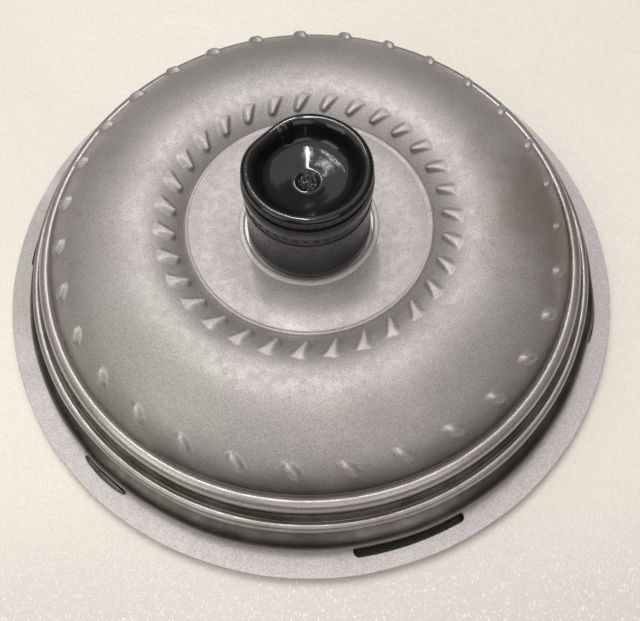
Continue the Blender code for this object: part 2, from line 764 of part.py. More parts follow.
def stator_wheel(parent):
    """Cast wheel: hub, thirteen cambered blades and the shroud round them."""
    bottom = STATOR_BOTTOM
    top = STATOR_TOP
    hub = turned(
        "stator_wheel",
        ring_outline(STATOR_BORE, STATOR_HUB_RADIUS, bottom, top),
        BODY_STEPS,
        "cast_aluminium",
        parent,
    )
    lead = (top - bottom) * 0.12
    verts = []
    faces = []
    for k in range(STATOR_BLADE_COUNT):
        base = len(verts)
        for i in range(4):
            share = i / 3
            height = bottom + lead + (top - bottom - 2 * lead) * share
            swing = math.radians(17) * (share - 0.35) ** 2 * 2.2
            for past in (-1 * MM, STATOR_BLADE_SPAN + 0.8 * MM):
                at = polar(STATOR_HUB_RADIUS + past, TAU * k / STATOR_BLADE_COUNT + swing)
                verts.append((*at, height))
        for i in range(3):
            corner = base + 2 * i
            faces.append((corner, corner + 1, corner + 3, corner + 2))
    mesh = bpy.data.meshes.new("stator_blades")
    mesh.from_pydata(verts, [], faces)
    blades = place("stator_blades", mesh)
    solidify = blades.modifiers.new("thickness", "SOLIDIFY")
    solidify.thickness = STATOR_BLADE_THICKNESS
    solidify.offset = 0
    shroud = turned(
        "stator_shroud",
        ring_outline(SHROUD_BORE, SHROUD_BORE + SHROUD_WALL, bottom + lead / 2, top - lead / 2),
    )
    boolean(hub, blades, "UNION")
    return boolean(hub, shroud, "UNION")


def clutch_outer_race(parent):
    """Cam ring with a pocket for each roller and its spring."""
    bottom = STATOR_BOTTOM + PLATE_THICKNESS + GAP
    top = STATOR_TOP - PLATE_THICKNESS - GAP
    outline = ring_outline(CAM_RADIUS - CAM_LAND, OUTER_RACE_RADIUS, bottom, top)
    race = turned("clutch_outer_race", outline, BODY_STEPS, "machined_steel", parent)
    for k in range(ROLLER_COUNT):
        middle = TAU * k / ROLLER_COUNT + (CAM_START + CAM_END) / 2
        pocket = sector(INNER_RACE_RADIUS, CAM_RADIUS, middle, CAM_END - CAM_START, 5)
        cutter = prism(f"pocket_cutter_{k + 1}", pocket, bottom - 2 * MM, top + 2 * MM)
        boolean(race, cutter, "DIFFERENCE")
    return race


def clutch_plate(name, bottom, parent):
    outline = ring_outline(
        INNER_RACE_RADIUS + GAP, OUTER_RACE_RADIUS, bottom, bottom + PLATE_THICKNESS
    )
    return turned(name, outline, SMALL_STEPS, "blade_steel", parent)


def clutch_inner_race(parent):
    """Ring on the fixed stator shaft, splined inside."""
    bottom = STATOR_BOTTOM
    top = STATOR_TOP
    outline = ring_outline(RACE_BORE, INNER_RACE_RADIUS, bottom, top)
    race = turned("clutch_inner_race", outline, BODY_STEPS, "machined_steel", parent)
    teeth = splined(RACE_BORE, RACE_TEETH, TOOTH)
    cutter = prism("race_spline_cutter", teeth, bottom - 5 * MM, top + 5 * MM)
    return boolean(race, cutter, "DIFFERENCE")


def clutch_roller(number, parent):
    """Roller that jams between the cam and the inner race one way and runs free the other."""
    bottom = STATOR_BOTTOM + PLATE_THICKNESS + 2 * GAP
    top = STATOR_TOP - PLATE_THICKNESS - 2 * GAP
    outline = [(0, bottom), (ROLLER_RADIUS, bottom), (ROLLER_RADIUS, top), (0, top)]
    centre = polar(ROLLER_CIRCLE, TAU * (number - 1) / ROLLER_COUNT)
    return turned(
        f"clutch_roller_{number}", outline, ROUND_STEPS, "bearing_steel", parent, centre
    )


def clutch_spring(number, parent):
    """Folded strip that keeps its roller against the cam."""
    bottom = STATOR_BOTTOM + PLATE_THICKNESS + 6 * GAP
    top = STATOR_TOP - PLATE_THICKNESS - 6 * GAP
    start = TAU * (number - 1) / ROLLER_COUNT
    folds = 5
    inner = INNER_RACE_RADIUS + 1.6 * MM
    outer = CAM_RADIUS - 1 * MM
    first = math.asin(ROLLER_RADIUS / ROLLER_CIRCLE) + math.radians(2.4)
    last = CAM_END - math.radians(2.4)
    verts = []
    for i in range(folds + 1):
        angle = start + first + (last - first) * i / folds
        radius = outer if i % 2 else inner
        verts += [(*polar(radius, angle), bottom), (*polar(radius, angle), top)]
    faces = [(2 * i, 2 * i + 1, 2 * i + 3, 2 * i + 2) for i in range(folds)]
    mesh = bpy.data.meshes.new(f"clutch_spring_{number}")
    mesh.from_pydata(verts, [], faces)
    part = place(f"clutch_spring_{number}", mesh, "spring_steel", parent)
    solidify = part.modifiers.new("thickness", "SOLIDIFY")
    solidify.thickness = 0.4 * MM
    solidify.offset = 0
    return part


def bearing_washer(name, bottom, parent=None):
    outer = INNER_RACE_RADIUS + BEARING_WIDTH
    outline = ring_outline(INNER_RACE_RADIUS + 1 * MM, outer, bottom, bottom + BEARING_RACE)
    return turned(name, outline, SMALL_STEPS, "bearing_steel", parent)


def bearing_cage(name, bottom, parent):
    """Cage ring with its needles standing proud of both faces."""
    inner = INNER_RACE_RADIUS + 1.4 * MM
    outer = INNER_RACE_RADIUS + BEARING_WIDTH - 0.4 * MM
    middle = bottom + NEEDLE_RADIUS
    half = NEEDLE_RADIUS / 2
    cage = turned(
        name, ring_outline(inner, outer, middle - half, middle + half), SMALL_STEPS,
        "bearing_steel", parent,
    )
    build = bmesh.new()
    for k in range(NEEDLE_COUNT):
        needle = bmesh.ops.create_cone(
            build, cap_ends=True, segments=6, radius1=NEEDLE_RADIUS,
            radius2=NEEDLE_RADIUS, depth=BEARING_WIDTH - 4.4 * MM,
        )
        angle = TAU * k / NEEDLE_COUNT
        along = Vector((*polar(1, angle), 0))
        turn = Vector((0, 0, 1)).rotation_difference(along).to_matrix()
        bmesh.ops.rotate(build, matrix=turn, verts=needle["verts"])
        shift = Vector((*polar((inner + outer) / 2, angle), middle))
        bmesh.ops.translate(build, vec=shift, verts=needle["verts"])
    mesh = bpy.data.meshes.new(f"{name}_needles")
    build.to_mesh(mesh)
    build.free()
    return boolean(cage, place(f"{name}_needles", mesh), "UNION")


# Transport cap


def transport_cap(parent):
    """Moulded cap over the pump hub, with a rolled rim and a dished top."""
    base = HUB_SEAT + HUB_SHOULDER + 2 * GAP
    rim = base + CAP_HEIGHT
    inner = HUB_RADIUS + CAP_FIT
    outer = inner + CAP_WALL
    skirt = outer - 0.3 * MM
    bead = rim - CAP_BEAD_DROP
    lip = outer - 0.8 * MM - CAP_ROLL
    edge = rim - CAP_DEPTH
    middle = edge - CAP_FALL
    ledge = HUB_TOP + 1 * MM
    bore = HUB_RADIUS - HUB_WALL
    outside = [(outer, base), (skirt, bead - 7 * MM), (skirt, bead - 1 * MM)]
    outside += [(skirt + CAP_BEAD, bead), (outer - 0.6 * MM, bead + 1.4 * MM)]
    outside += arc((lip, rim - CAP_ROLL), (CAP_ROLL, CAP_ROLL), 0, 150, 5)
    outside += [
        (CAP_FLOOR_RADIUS, edge),
        (GATE_RADIUS, middle + CAP_FALL * GATE_RADIUS / CAP_FLOOR_RADIUS),
        (GATE_RADIUS * 0.8, middle),
        (0, middle),
    ]
    inside = [
        (0, middle - CAP_WALL),
        (GATE_RADIUS * 0.8, middle - CAP_WALL),
        (CAP_FLOOR_RADIUS + 1.1 * MM, edge - 1.2 * MM),
        (bore - 0.9 * MM, ledge - 1.4 * MM),
        (bore - 0.1 * MM, ledge),
        (inner, ledge),
        (inner, base),
    ]
    cap = turned("transport_cap", outside + inside, BODY_STEPS, "cap_plastic")
    cap.parent = parent
    return cap


def build():
    front_cover()
    mounting_flange()
    crank_pilot()
    for number in range(1, BOSS_COUNT + 1):
        drive_boss(number)
    for number in range(1, WELD_COUNT + 1):
        flange_weld(number)
    impeller_shell()
    closing_weld()
    impeller_blade_ring()
    pump_hub()
    hub_weld()
    cover_thrust_washer()
    front_bearing = TURBINE_HUB_TOP + GAP
    rear_bearing = STATOR_TOP + GAP
    to_cage = BEARING_RACE + GAP
    bearing_washer("rear_bearing_hub_race", HUB_BOTTOM - to_cage)

    turbine = axis_empty("turbine_axis")
    turbine_shell(turbine)
    turbine_blade_ring(turbine)
    turbine_hub(turbine)
    damper_drive_ring(turbine)
    bearing_washer("front_bearing_hub_race", front_bearing, turbine)

    damper = axis_empty("damper_axis", turbine)
    for number in range(1, SPRING_COUNT + 1):
        damper_spring(number, damper)

    piston = axis_empty("piston_axis", damper)
    lockup_piston(piston)
    piston_seal(piston)
    friction_lining(piston)
    spring_retainer(piston)

    stator = axis_empty("stator_axis")
    stator_wheel(stator)
    clutch_outer_race(stator)
    clutch_plate("clutch_front_plate", STATOR_BOTTOM, stator)
    clutch_plate("clutch_rear_plate", STATOR_TOP - PLATE_THICKNESS, stator)
    bearing_washer("front_bearing_stator_race", STATOR_BOTTOM - to_cage, stator)
    bearing_washer("rear_bearing_stator_race", rear_bearing, stator)
    for number in range(1, ROLLER_COUNT + 1):
        clutch_roller(number, stator)
        clutch_spring(number, stator)

    race = axis_empty("inner_race_axis", stator)
    clutch_inner_race(race)

    front_cage = axis_empty("front_cage_axis", turbine)
    bearing_cage("front_bearing_cage", front_bearing + to_cage, front_cage)
    rear_cage = axis_empty("rear_cage_axis")
    bearing_cage("rear_bearing_cage", rear_bearing + to_cage, rear_cage)

    transport_cap(axis_empty("cap_axis"))


build()
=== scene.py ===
"""Looks of the torque converter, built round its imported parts.

Each visible piece is a set of numpy grid surfaces, turned or swept from a formula that
its function gives in words, and rides on the body of the part that it stands for.
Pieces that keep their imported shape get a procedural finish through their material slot.
"""

from __future__ import annotations

import json
import logging
import math
from collections.abc import Sequence
from dataclasses import dataclass, field
from enum import Enum

import bpy
import numpy as np
from mathutils import Euler, Matrix, Vector

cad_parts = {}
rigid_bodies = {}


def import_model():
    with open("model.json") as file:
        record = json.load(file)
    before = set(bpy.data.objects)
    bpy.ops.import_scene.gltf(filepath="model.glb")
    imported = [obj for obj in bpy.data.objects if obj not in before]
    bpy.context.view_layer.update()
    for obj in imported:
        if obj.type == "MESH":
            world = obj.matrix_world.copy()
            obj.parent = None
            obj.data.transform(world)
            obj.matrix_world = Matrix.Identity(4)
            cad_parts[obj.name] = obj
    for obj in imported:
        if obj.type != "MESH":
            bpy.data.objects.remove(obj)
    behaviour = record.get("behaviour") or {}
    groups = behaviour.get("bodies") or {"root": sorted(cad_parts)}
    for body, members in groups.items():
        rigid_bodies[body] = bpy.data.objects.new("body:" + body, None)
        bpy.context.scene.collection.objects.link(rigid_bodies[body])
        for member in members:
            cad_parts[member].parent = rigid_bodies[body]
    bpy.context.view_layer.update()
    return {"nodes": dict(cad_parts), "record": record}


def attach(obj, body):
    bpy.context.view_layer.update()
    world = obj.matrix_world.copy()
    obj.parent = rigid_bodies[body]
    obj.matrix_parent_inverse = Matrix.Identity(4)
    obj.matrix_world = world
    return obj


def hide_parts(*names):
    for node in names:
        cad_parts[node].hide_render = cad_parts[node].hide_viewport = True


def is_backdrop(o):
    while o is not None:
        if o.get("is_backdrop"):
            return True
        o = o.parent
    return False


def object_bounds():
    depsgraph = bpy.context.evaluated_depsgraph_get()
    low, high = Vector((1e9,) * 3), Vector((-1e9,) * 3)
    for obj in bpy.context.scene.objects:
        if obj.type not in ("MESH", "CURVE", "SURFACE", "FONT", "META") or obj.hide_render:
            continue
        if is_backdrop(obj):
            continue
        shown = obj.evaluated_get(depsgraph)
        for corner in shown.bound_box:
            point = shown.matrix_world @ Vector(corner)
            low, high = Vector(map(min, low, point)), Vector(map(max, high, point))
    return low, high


LOG = logging.getLogger("torque_converter")
MM = 0.001
TAU = 2 * math.pi
SAME_PLACE = 2e-7  # metres; points that round to one multiple of it are welded
Point = tuple[float, float]
Colour = tuple[float, float, float]
Vector3 = tuple[float, float, float]
EVEN: Vector3 = (1, 1, 1)


# Grids and meshes


@dataclass
class Grid:
    """A surface of quads over two parameters.

    Args:
        points: Array (columns, rows, 3) in metres.
        wraps: Whether the last column joins the first.
        closed: Whether the last row joins the first.
        keep: Mask over the quads, (columns, rows), or None for all of them.
    """

    points: np.ndarray
    wraps: bool = True
    closed: bool = False
    keep: np.ndarray | None = None

    def quads(self, start: int) -> np.ndarray:
        """Corner numbers of each quad.

        Args:
            start: Number of the grid's first point.

        Returns:
            Array (quads, 4), anticlockwise seen from outside.
        """
        columns, rows = self.points.shape[:2]
        i = np.arange(columns if self.wraps else columns - 1)[:, None]
        j = np.arange(rows if self.closed else rows - 1)[None, :]
        ahead, below = (i + 1) % columns, (j + 1) % rows
        corners = [i * rows + j, i * rows + below, ahead * rows + below, ahead * rows + j]
        quads = np.stack(corners, axis=-1)
        if self.keep is not None:
            quads = quads[self.keep[: quads.shape[0], : quads.shape[1]]]
        return quads.reshape(-1, 4) + start


def add_object(name: str, data: bpy.types.ID) -> bpy.types.Object:
    """A new object in the scene, at the origin."""
    made = bpy.data.objects.new(name, data)
    bpy.context.scene.collection.objects.link(made)
    return made


def mesh_object(name: str, grids: Sequence[Grid], sharp: float = 32) -> bpy.types.Object:
    """Join grids into one mesh, welding the points that coincide.

    Args:
        name: Object name.
        grids: Surfaces that together close the piece.
        sharp: Angle in degrees over which an edge stays sharp.

    Returns:
        The new object, at the origin.
    """
    starts = np.cumsum([0] + [g.points.shape[0] * g.points.shape[1] for g in grids])
    points = np.concatenate([g.points.reshape(-1, 3) for g in grids])
    quads = np.concatenate([g.quads(int(s)) for g, s in zip(grids, starts)])
    keys = np.round(points / SAME_PLACE).astype(np.int64)
    _, first, index = np.unique(keys, axis=0, return_index=True, return_inverse=True)
    quads = index.reshape(-1)[quads]
    used = quads != np.roll(quads, 1, axis=1)
    used &= (used.sum(axis=1) > 2)[:, None]
    totals = used.sum(axis=1)
    totals = totals[totals > 0]
    corners = quads[used]
    mesh = bpy.data.meshes.new(name)
    mesh.vertices.add(len(first))
    mesh.vertices.foreach_set("co", points[first].astype(np.float32).ravel())
    mesh.loops.add(len(corners))
    mesh.loops.foreach_set("vertex_index", corners.astype(np.int32))
    mesh.polygons.add(len(totals))
    mesh.polygons.foreach_set("loop_start", np.r_[0, np.cumsum(totals)[:-1]].astype(np.int32))
    mesh.update(calc_edges=True)
    mesh.validate()
    mesh.shade_smooth()
    mesh.set_sharp_from_angle(angle=math.radians(sharp))
    LOG.info("%s: %d faces", name, len(totals))
    return add_object(name, mesh)


# Sections


def straight(points: Sequence[Point], step: float = 99.0) -> np.ndarray:
    """Points along straight runs, no further apart than a step, sizes in millimetres.

    Args:
        points: Corners as (radius, height).
        step: Largest spacing.

    Returns:
        Array (count, 2).
    """
    runs = []
    for start, end in zip(points, points[1:]):
        count = max(1, math.ceil(math.dist(start, end) / step))
        runs.append(np.linspace(start, end, count, endpoint=False))
    return np.concatenate([*runs, [points[-1]]])


def flowing(points: Sequence[Point], each: int = 4) -> np.ndarray:
    """A Catmull-Rom curve through points, sizes in millimetres.

    Args:
        points: Points that the curve passes through.
        each: Steps between neighbouring points.

    Returns:
        Array (count, 2).
    """
    p = np.array(points, float)
    p = np.concatenate([[2 * p[0] - p[1]], p, [2 * p[-1] - p[-2]]])
    t = np.linspace(0, 1, each, endpoint=False)[None, :, None]
    a, b, c, d = p[:-3, None], p[1:-2, None], p[2:-1, None], p[3:, None]
    curve = 0.5 * (
        2 * b + (c - a) * t + (2 * a - 5 * b + 4 * c - d) * t**2 + (3 * b - a - 3 * c + d) * t**3
    )
    return np.concatenate([curve.reshape(-1, 2), p[-2:-1]])


def section(*runs: np.ndarray) -> np.ndarray:
    """Runs joined into one line, without repeated points.

    Args:
        runs: Arrays of (radius, height) in millimetres.

    Returns:
        Array (count, 2) in metres.
    """
    line = np.concatenate(runs) * MM
    moved = np.linalg.norm(np.diff(line, axis=0), axis=1) > 1e-6
    return line[np.r_[True, moved]]


def outwards(line: np.ndarray) -> np.ndarray:
    """Unit normals of a line that runs anticlockwise round the solid's section.

    Args:
        line: Array (count, 2).

    Returns:
        Array (count, 2).
    """
    tangent = np.gradient(line, axis=0)
    normal = np.stack([tangent[:, 1], -tangent[:, 0]], axis=1)
    return normal / np.linalg.norm(normal, axis=1, keepdims=True)


def around(radius: np.ndarray, turn: np.ndarray, height: np.ndarray) -> np.ndarray:
    """Points (..., 3) at a distance from the axis, an angle round it and a height."""
    x, y = radius * np.cos(turn), radius * np.sin(turn)
    return np.stack([x, y, np.broadcast_to(height, x.shape)], axis=-1)


def turned_grid(
    line: np.ndarray, angles: np.ndarray, relief: np.ndarray | None = None
) -> Grid:
    """Turn a closed section round Z, moved along its normals by a relief.

    Args:
        line: Section, anticlockwise in the (radius, height) plane.
        angles: Angle of each column, or one for each point as (columns, rows).
        relief: Height over the section, (columns, rows), in metres.

    Returns:
        The grid, facing outwards.
    """
    turn = angles[:, None] if angles.ndim == 1 else angles
    moved = np.broadcast_to(line, (turn.shape[0], *line.shape)).copy()
    if relief is not None:
        moved += relief[..., None] * outwards(line)
    return Grid(around(moved[..., 0], turn, moved[..., 1])[:, ::-1], closed=True)


def columns(count: int) -> np.ndarray:
    """That many equal angles round a turn, in radians."""
    return np.arange(count) * TAU / count


def nearest(angle: np.ndarray, first: float, count: int) -> np.ndarray:
    """Signed angle from the nearest of a count of equally spaced features, one at first."""
    pitch = TAU / count
    return (angle - first + pitch / 2) % pitch - pitch / 2


def swell(angle: np.ndarray, first: float, width: float, count: int = 1) -> np.ndarray:
    """Bell of height 1 at each of a count of angles, fallen to 1/e at the width from it."""
    return np.exp(-((nearest(angle, first, count) / width) ** 2))


def rise(value: np.ndarray) -> np.ndarray:
    """Smooth step from 0 to 1 as the value goes from 0 to 1."""
    t = np.clip(value, 0, 1)
    return t * t * (3 - 2 * t)


def rough(points: np.ndarray, scale: float, waves: int = 7) -> np.ndarray:
    """Uneven relief, a sum of sine waves whose directions and phases don't repeat.

    Args:
        points: Array (..., 3) in metres.
        scale: Length of the longest wave, in metres.
        waves: Number of waves.

    Returns:
        Array (...) of about -1 to 1.
    """
    total = np.zeros(points.shape[:-1])
    for k in range(1, waves + 1):
        along = np.array([math.sin(2.4 * k), math.cos(3.7 * k), math.sin(5.1 * k + 1)])
        total += np.sin(points @ along * TAU * k**0.7 / scale + 1.9 * k) / k**0.6
    return total / 2.2


# Finishes: first the noise values between which each layer comes in

CLOUDS = (0.35, 0.68)
MOTTLE = (0.42, 0.75)
STAINS = (0.52, 0.74)
WORN = (0.62, 0.7)
SPECKS = (0.35, 0.62)
GLOSS = (0.3, 0.7)

# Scales as multiples of the clouds', then depths, shares and fades
MOTTLE_SCALE = 9
STAIN_SCALE = 2.3
WEAR_SCALE = 5
MOTTLE_SHARE = 0.15
MOTTLE_DEPTH = 1.5  # of the grain's depth
WORN_GLOSS = 0.25
BAND_EDGE = (45, 3, 6 * MM)
LOWER_FADE = 0.5 * MM
RING_DEPTH = 0.006 * MM
RING_ROUGHNESS = 0.08
COAT_ROUGHNESS = 0.08


@dataclass(frozen=True)
class Patch:
    """A stained or worn place on a finish, or a painted pool of light or shade.

    Args:
        centre: Its middle, in metres.
        reach: Distance over which it fades out, in metres.
        colour: Its colour.
        strength: Share of that colour at the middle.
        edge: Lumps of the uneven edge, per metre.
    """

    centre: Vector3
    reach: float
    colour: Colour
    strength: float
    edge: float = 60


@dataclass(frozen=True)
class Band:
    """A tint between two heights; on the shell and cover, painted shade that darkens the rings'
    sides, the crease and the slope above the seam.

    Args:
        low: Height where it starts, in metres.
        full: Height where it is strongest.
        high: Height where it has faded out.
        colour: Its colour.
        strength: Share of that colour.
    """

    low: float
    full: float
    high: float
    colour: Colour
    strength: float


@dataclass(frozen=True)
class Finish:
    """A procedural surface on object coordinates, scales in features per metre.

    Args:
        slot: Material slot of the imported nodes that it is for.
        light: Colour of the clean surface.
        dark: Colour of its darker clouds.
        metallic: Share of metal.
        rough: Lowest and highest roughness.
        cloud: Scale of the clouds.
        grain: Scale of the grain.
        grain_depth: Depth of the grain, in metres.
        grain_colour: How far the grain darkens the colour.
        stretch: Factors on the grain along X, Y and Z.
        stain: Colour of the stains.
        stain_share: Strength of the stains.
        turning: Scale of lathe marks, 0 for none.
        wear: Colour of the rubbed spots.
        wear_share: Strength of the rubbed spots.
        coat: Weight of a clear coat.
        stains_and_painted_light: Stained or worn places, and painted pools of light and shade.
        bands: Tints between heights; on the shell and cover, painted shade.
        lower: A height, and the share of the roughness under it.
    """

    slot: str
    light: Colour
    dark: Colour
    metallic: float = 1.0
    rough: Point = (0.3, 0.5)
    cloud: float = 30
    grain: float = 1800
    grain_depth: float = 0.00003
    grain_colour: float = 0.15
    stretch: Vector3 = EVEN
    stain: Colour = (0.2, 0.14, 0.08)
    stain_share: float = 0.2
    turning: float = 0
    wear: Colour = (0.8, 0.78, 0.76)
    wear_share: float = 0.15
    coat: float = 0
    stains_and_painted_light: tuple[Patch, ...] = ()
    bands: tuple[Band, ...] = ()
    lower: Point = (-1.0, 1.0)


class Painter:
    """Builds a finish's material, one node after another."""

    def __init__(self, name: str) -> None:
        """Start an empty material.

        Args:
            name: Material name.
        """
        self.material = bpy.data.materials.new(name)
        self.material.use_nodes = True
        self.tree = self.material.node_tree
        self.shader = self.tree.nodes["Principled BSDF"]
        self.place = self.tree.nodes.new("ShaderNodeTexCoord").outputs["Object"]

    def node(self, kind: str, settings: dict | None = None, **sockets: object) -> bpy.types.Node:
        """Add a node.

        Args:
            kind: Node type.
            settings: Attributes to set on it.
            sockets: Values or links for its inputs, each under the input's name with
                spaces as underscores, or under "in" and the input's number.

        Returns:
            The node.
        """
        made = self.tree.nodes.new(kind)
        for key, value in (settings or {}).items():
            setattr(made, key, value)
        for key, value in sockets.items():
            number = key.startswith("in") and key[2:].isdigit()
            socket = made.inputs[int(key[2:]) if number else key.replace("_", " ")]
            if isinstance(value, bpy.types.NodeSocket):
                self.tree.links.new(value, socket)
            else:
                socket.default_value = value
        return made

    def noise(
        self, scale: float, detail: float = 3, stretch: Vector3 = EVEN, warp: float = 0
    ) -> bpy.types.NodeSocket:
        """Noise from 0 to 1.

        Args:
            scale: Features per metre.
            detail: Octaves.
            stretch: Factors along X, Y and Z.
            warp: Distortion.

        Returns:
            Its value.
        """
        place = self.place
        if stretch != EVEN:
            place = self.node("ShaderNodeMapping", in0=place, in3=stretch).outputs[0]
        made = self.node(
            "ShaderNodeTexNoise", Vector=place, Scale=scale, Detail=detail, Distortion=warp
        )
        return made.outputs[0]

    def shake(self, scale: float, detail: float, width: float) -> bpy.types.NodeSocket:
        """Noise spread evenly about zero, over the width."""
        moved = self.maths("MULTIPLY_ADD", self.noise(scale, detail), width)
        moved.node.inputs[2].default_value = -width / 2
        return moved

    def ramp(
        self, value: object, low: float, high: float, start: float = 0, end: float = 1
    ) -> bpy.types.NodeSocket:
        """Map a value smoothly from one range to another, clamped.

        Args:
            value: The input.
            low: Input where the output is start.
            high: Input where the output is end.
            start: First output.
            end: Last output.

        Returns:
            The mapped value.
        """
        smooth = {"interpolation_type": "SMOOTHSTEP"}
        sockets = {"in0": value, "in1": low, "in2": high, "in3": start, "in4": end}
        return self.node("ShaderNodeMapRange", smooth, **sockets).outputs[0]

    def maths(self, operation: str, first: object, second: object) -> bpy.types.NodeSocket:
        """Result of a Math node's operation on two values or links."""
        made = self.node("ShaderNodeMath", {"operation": operation}, in0=first, in1=second)
        return made.outputs[0]

    def blend(self, factor: object, base: object, over: object) -> bpy.types.NodeSocket:
        """Lay one colour over another.

        Args:
            factor: Share of the upper colour.
            base: Lower colour, three numbers or a link.
            over: Upper colour.

        Returns:
            The colour.
        """
        made = self.node("ShaderNodeMix", {"data_type": "RGBA"}, in0=factor)
        for number, value in ((6, base), (7, over)):
            if isinstance(value, bpy.types.NodeSocket):
                self.tree.links.new(value, made.inputs[number])
            else:
                made.inputs[number].default_value = (*value, 1)
        return made.outputs[2]

    def near(self, patch: Patch) -> bpy.types.NodeSocket:
        """How far a place lies inside a patch.

        Args:
            patch: The patch.

        Returns:
            Its share there, with an uneven edge.
        """
        away = self.node(
            "ShaderNodeVectorMath", {"operation": "DISTANCE"}, in0=self.place, in1=patch.centre
        ).outputs["Value"]
        moved = self.maths("ADD", away, self.shake(patch.edge, 4, patch.reach * 1.4))
        return self.ramp(moved, patch.reach, patch.reach * 0.15, 0, patch.strength)

    def dress(self, colour: object, roughness: object, normal: object) -> None:
        """Link the shader's base colour, roughness and normal."""
        for name, value in (("Base Color", colour), ("Roughness", roughness), ("Normal", normal)):
            self.tree.links.new(value, self.shader.inputs[name])


def paint(finish: Finish, name: str) -> bpy.types.Material:
    """Make a finish's material: clouds, stains, wear and grain over the base colour, with bands of
    painted shade and patches of painted light and shade.

    Args:
        finish: What to make.
        name: Material name.

    Returns:
        The material.
    """
    p = Painter(name)
    grain = p.noise(finish.grain, 2, finish.stretch)
    clouds = p.noise(finish.cloud, 5, warp=0.4)
    mottle = p.noise(finish.cloud * MOTTLE_SCALE, 4)
    colour = p.blend(p.ramp(clouds, *CLOUDS), finish.light, finish.dark)
    colour = p.blend(p.ramp(mottle, *MOTTLE, 0, MOTTLE_SHARE), colour, finish.dark)
    stains = p.noise(finish.cloud * STAIN_SCALE, 6, warp=1.2)
    colour = p.blend(p.ramp(stains, *STAINS, 0, finish.stain_share), colour, finish.stain)
    height = p.node("ShaderNodeSeparateXYZ", in0=p.place).outputs[2]
    # Bands between heights: on the shell and cover these are painted shade.
    for band in finish.bands:
        level = p.maths("ADD", height, p.shake(*BAND_EDGE))
        above = p.ramp(height, band.low, band.full, 0, band.strength)
        below = p.ramp(level, band.high, band.full)
        colour = p.blend(p.maths("MULTIPLY", above, below), colour, band.colour)
    # Patches: stains and wear, and painted pools of light and shade.
    for patch in finish.stains_and_painted_light:
        colour = p.blend(p.near(patch), colour, patch.colour)
    worn = p.noise(finish.cloud * WEAR_SCALE, 6, (1, 2.4, 1), 0.8)
    worn = p.ramp(worn, *WORN, 0, finish.wear_share)
    colour = p.blend(worn, colour, finish.wear)
    specks = p.ramp(grain, *SPECKS, 1 - finish.grain_colour, 1)
    darken = {"data_type": "RGBA", "blend_type": "MULTIPLY"}
    colour = p.node("ShaderNodeMix", darken, in0=1.0, in6=colour, in7=specks).outputs[2]
    rough_map = p.ramp(mottle, *GLOSS, *finish.rough)
    rough_map = p.maths("SUBTRACT", rough_map, p.maths("MULTIPLY", worn, WORN_GLOSS))
    edge, share = finish.lower
    rough_map = p.maths("MULTIPLY", rough_map, p.ramp(height, edge - LOWER_FADE, edge, share, 1))
    relief = p.maths("MULTIPLY", grain, finish.grain_depth)
    lumps = p.maths("MULTIPLY", mottle, finish.grain_depth * MOTTLE_DEPTH)
    relief = p.maths("ADD", relief, lumps)
    if finish.turning:
        rings = p.node(
            "ShaderNodeTexWave",
            {"wave_type": "RINGS", "rings_direction": "Z"},
            Vector=p.place,
            Scale=finish.turning,
            Distortion=1.2,
            Detail=2.0,
        ).outputs["Fac"]
        relief = p.maths("ADD", relief, p.maths("MULTIPLY", rings, RING_DEPTH))
        rough_map = p.maths("ADD", rough_map, p.maths("MULTIPLY", rings, RING_ROUGHNESS))
    bump = p.node("ShaderNodeBump", Strength=1.0, Distance=1.0, Height=relief).outputs[0]
    p.dress(colour, rough_map, bump)
    p.shader.inputs["Metallic"].default_value = finish.metallic
    p.shader.inputs["Coat Weight"].default_value = finish.coat
    p.shader.inputs["Coat Roughness"].default_value = COAT_ROUGHNESS
    return p.material


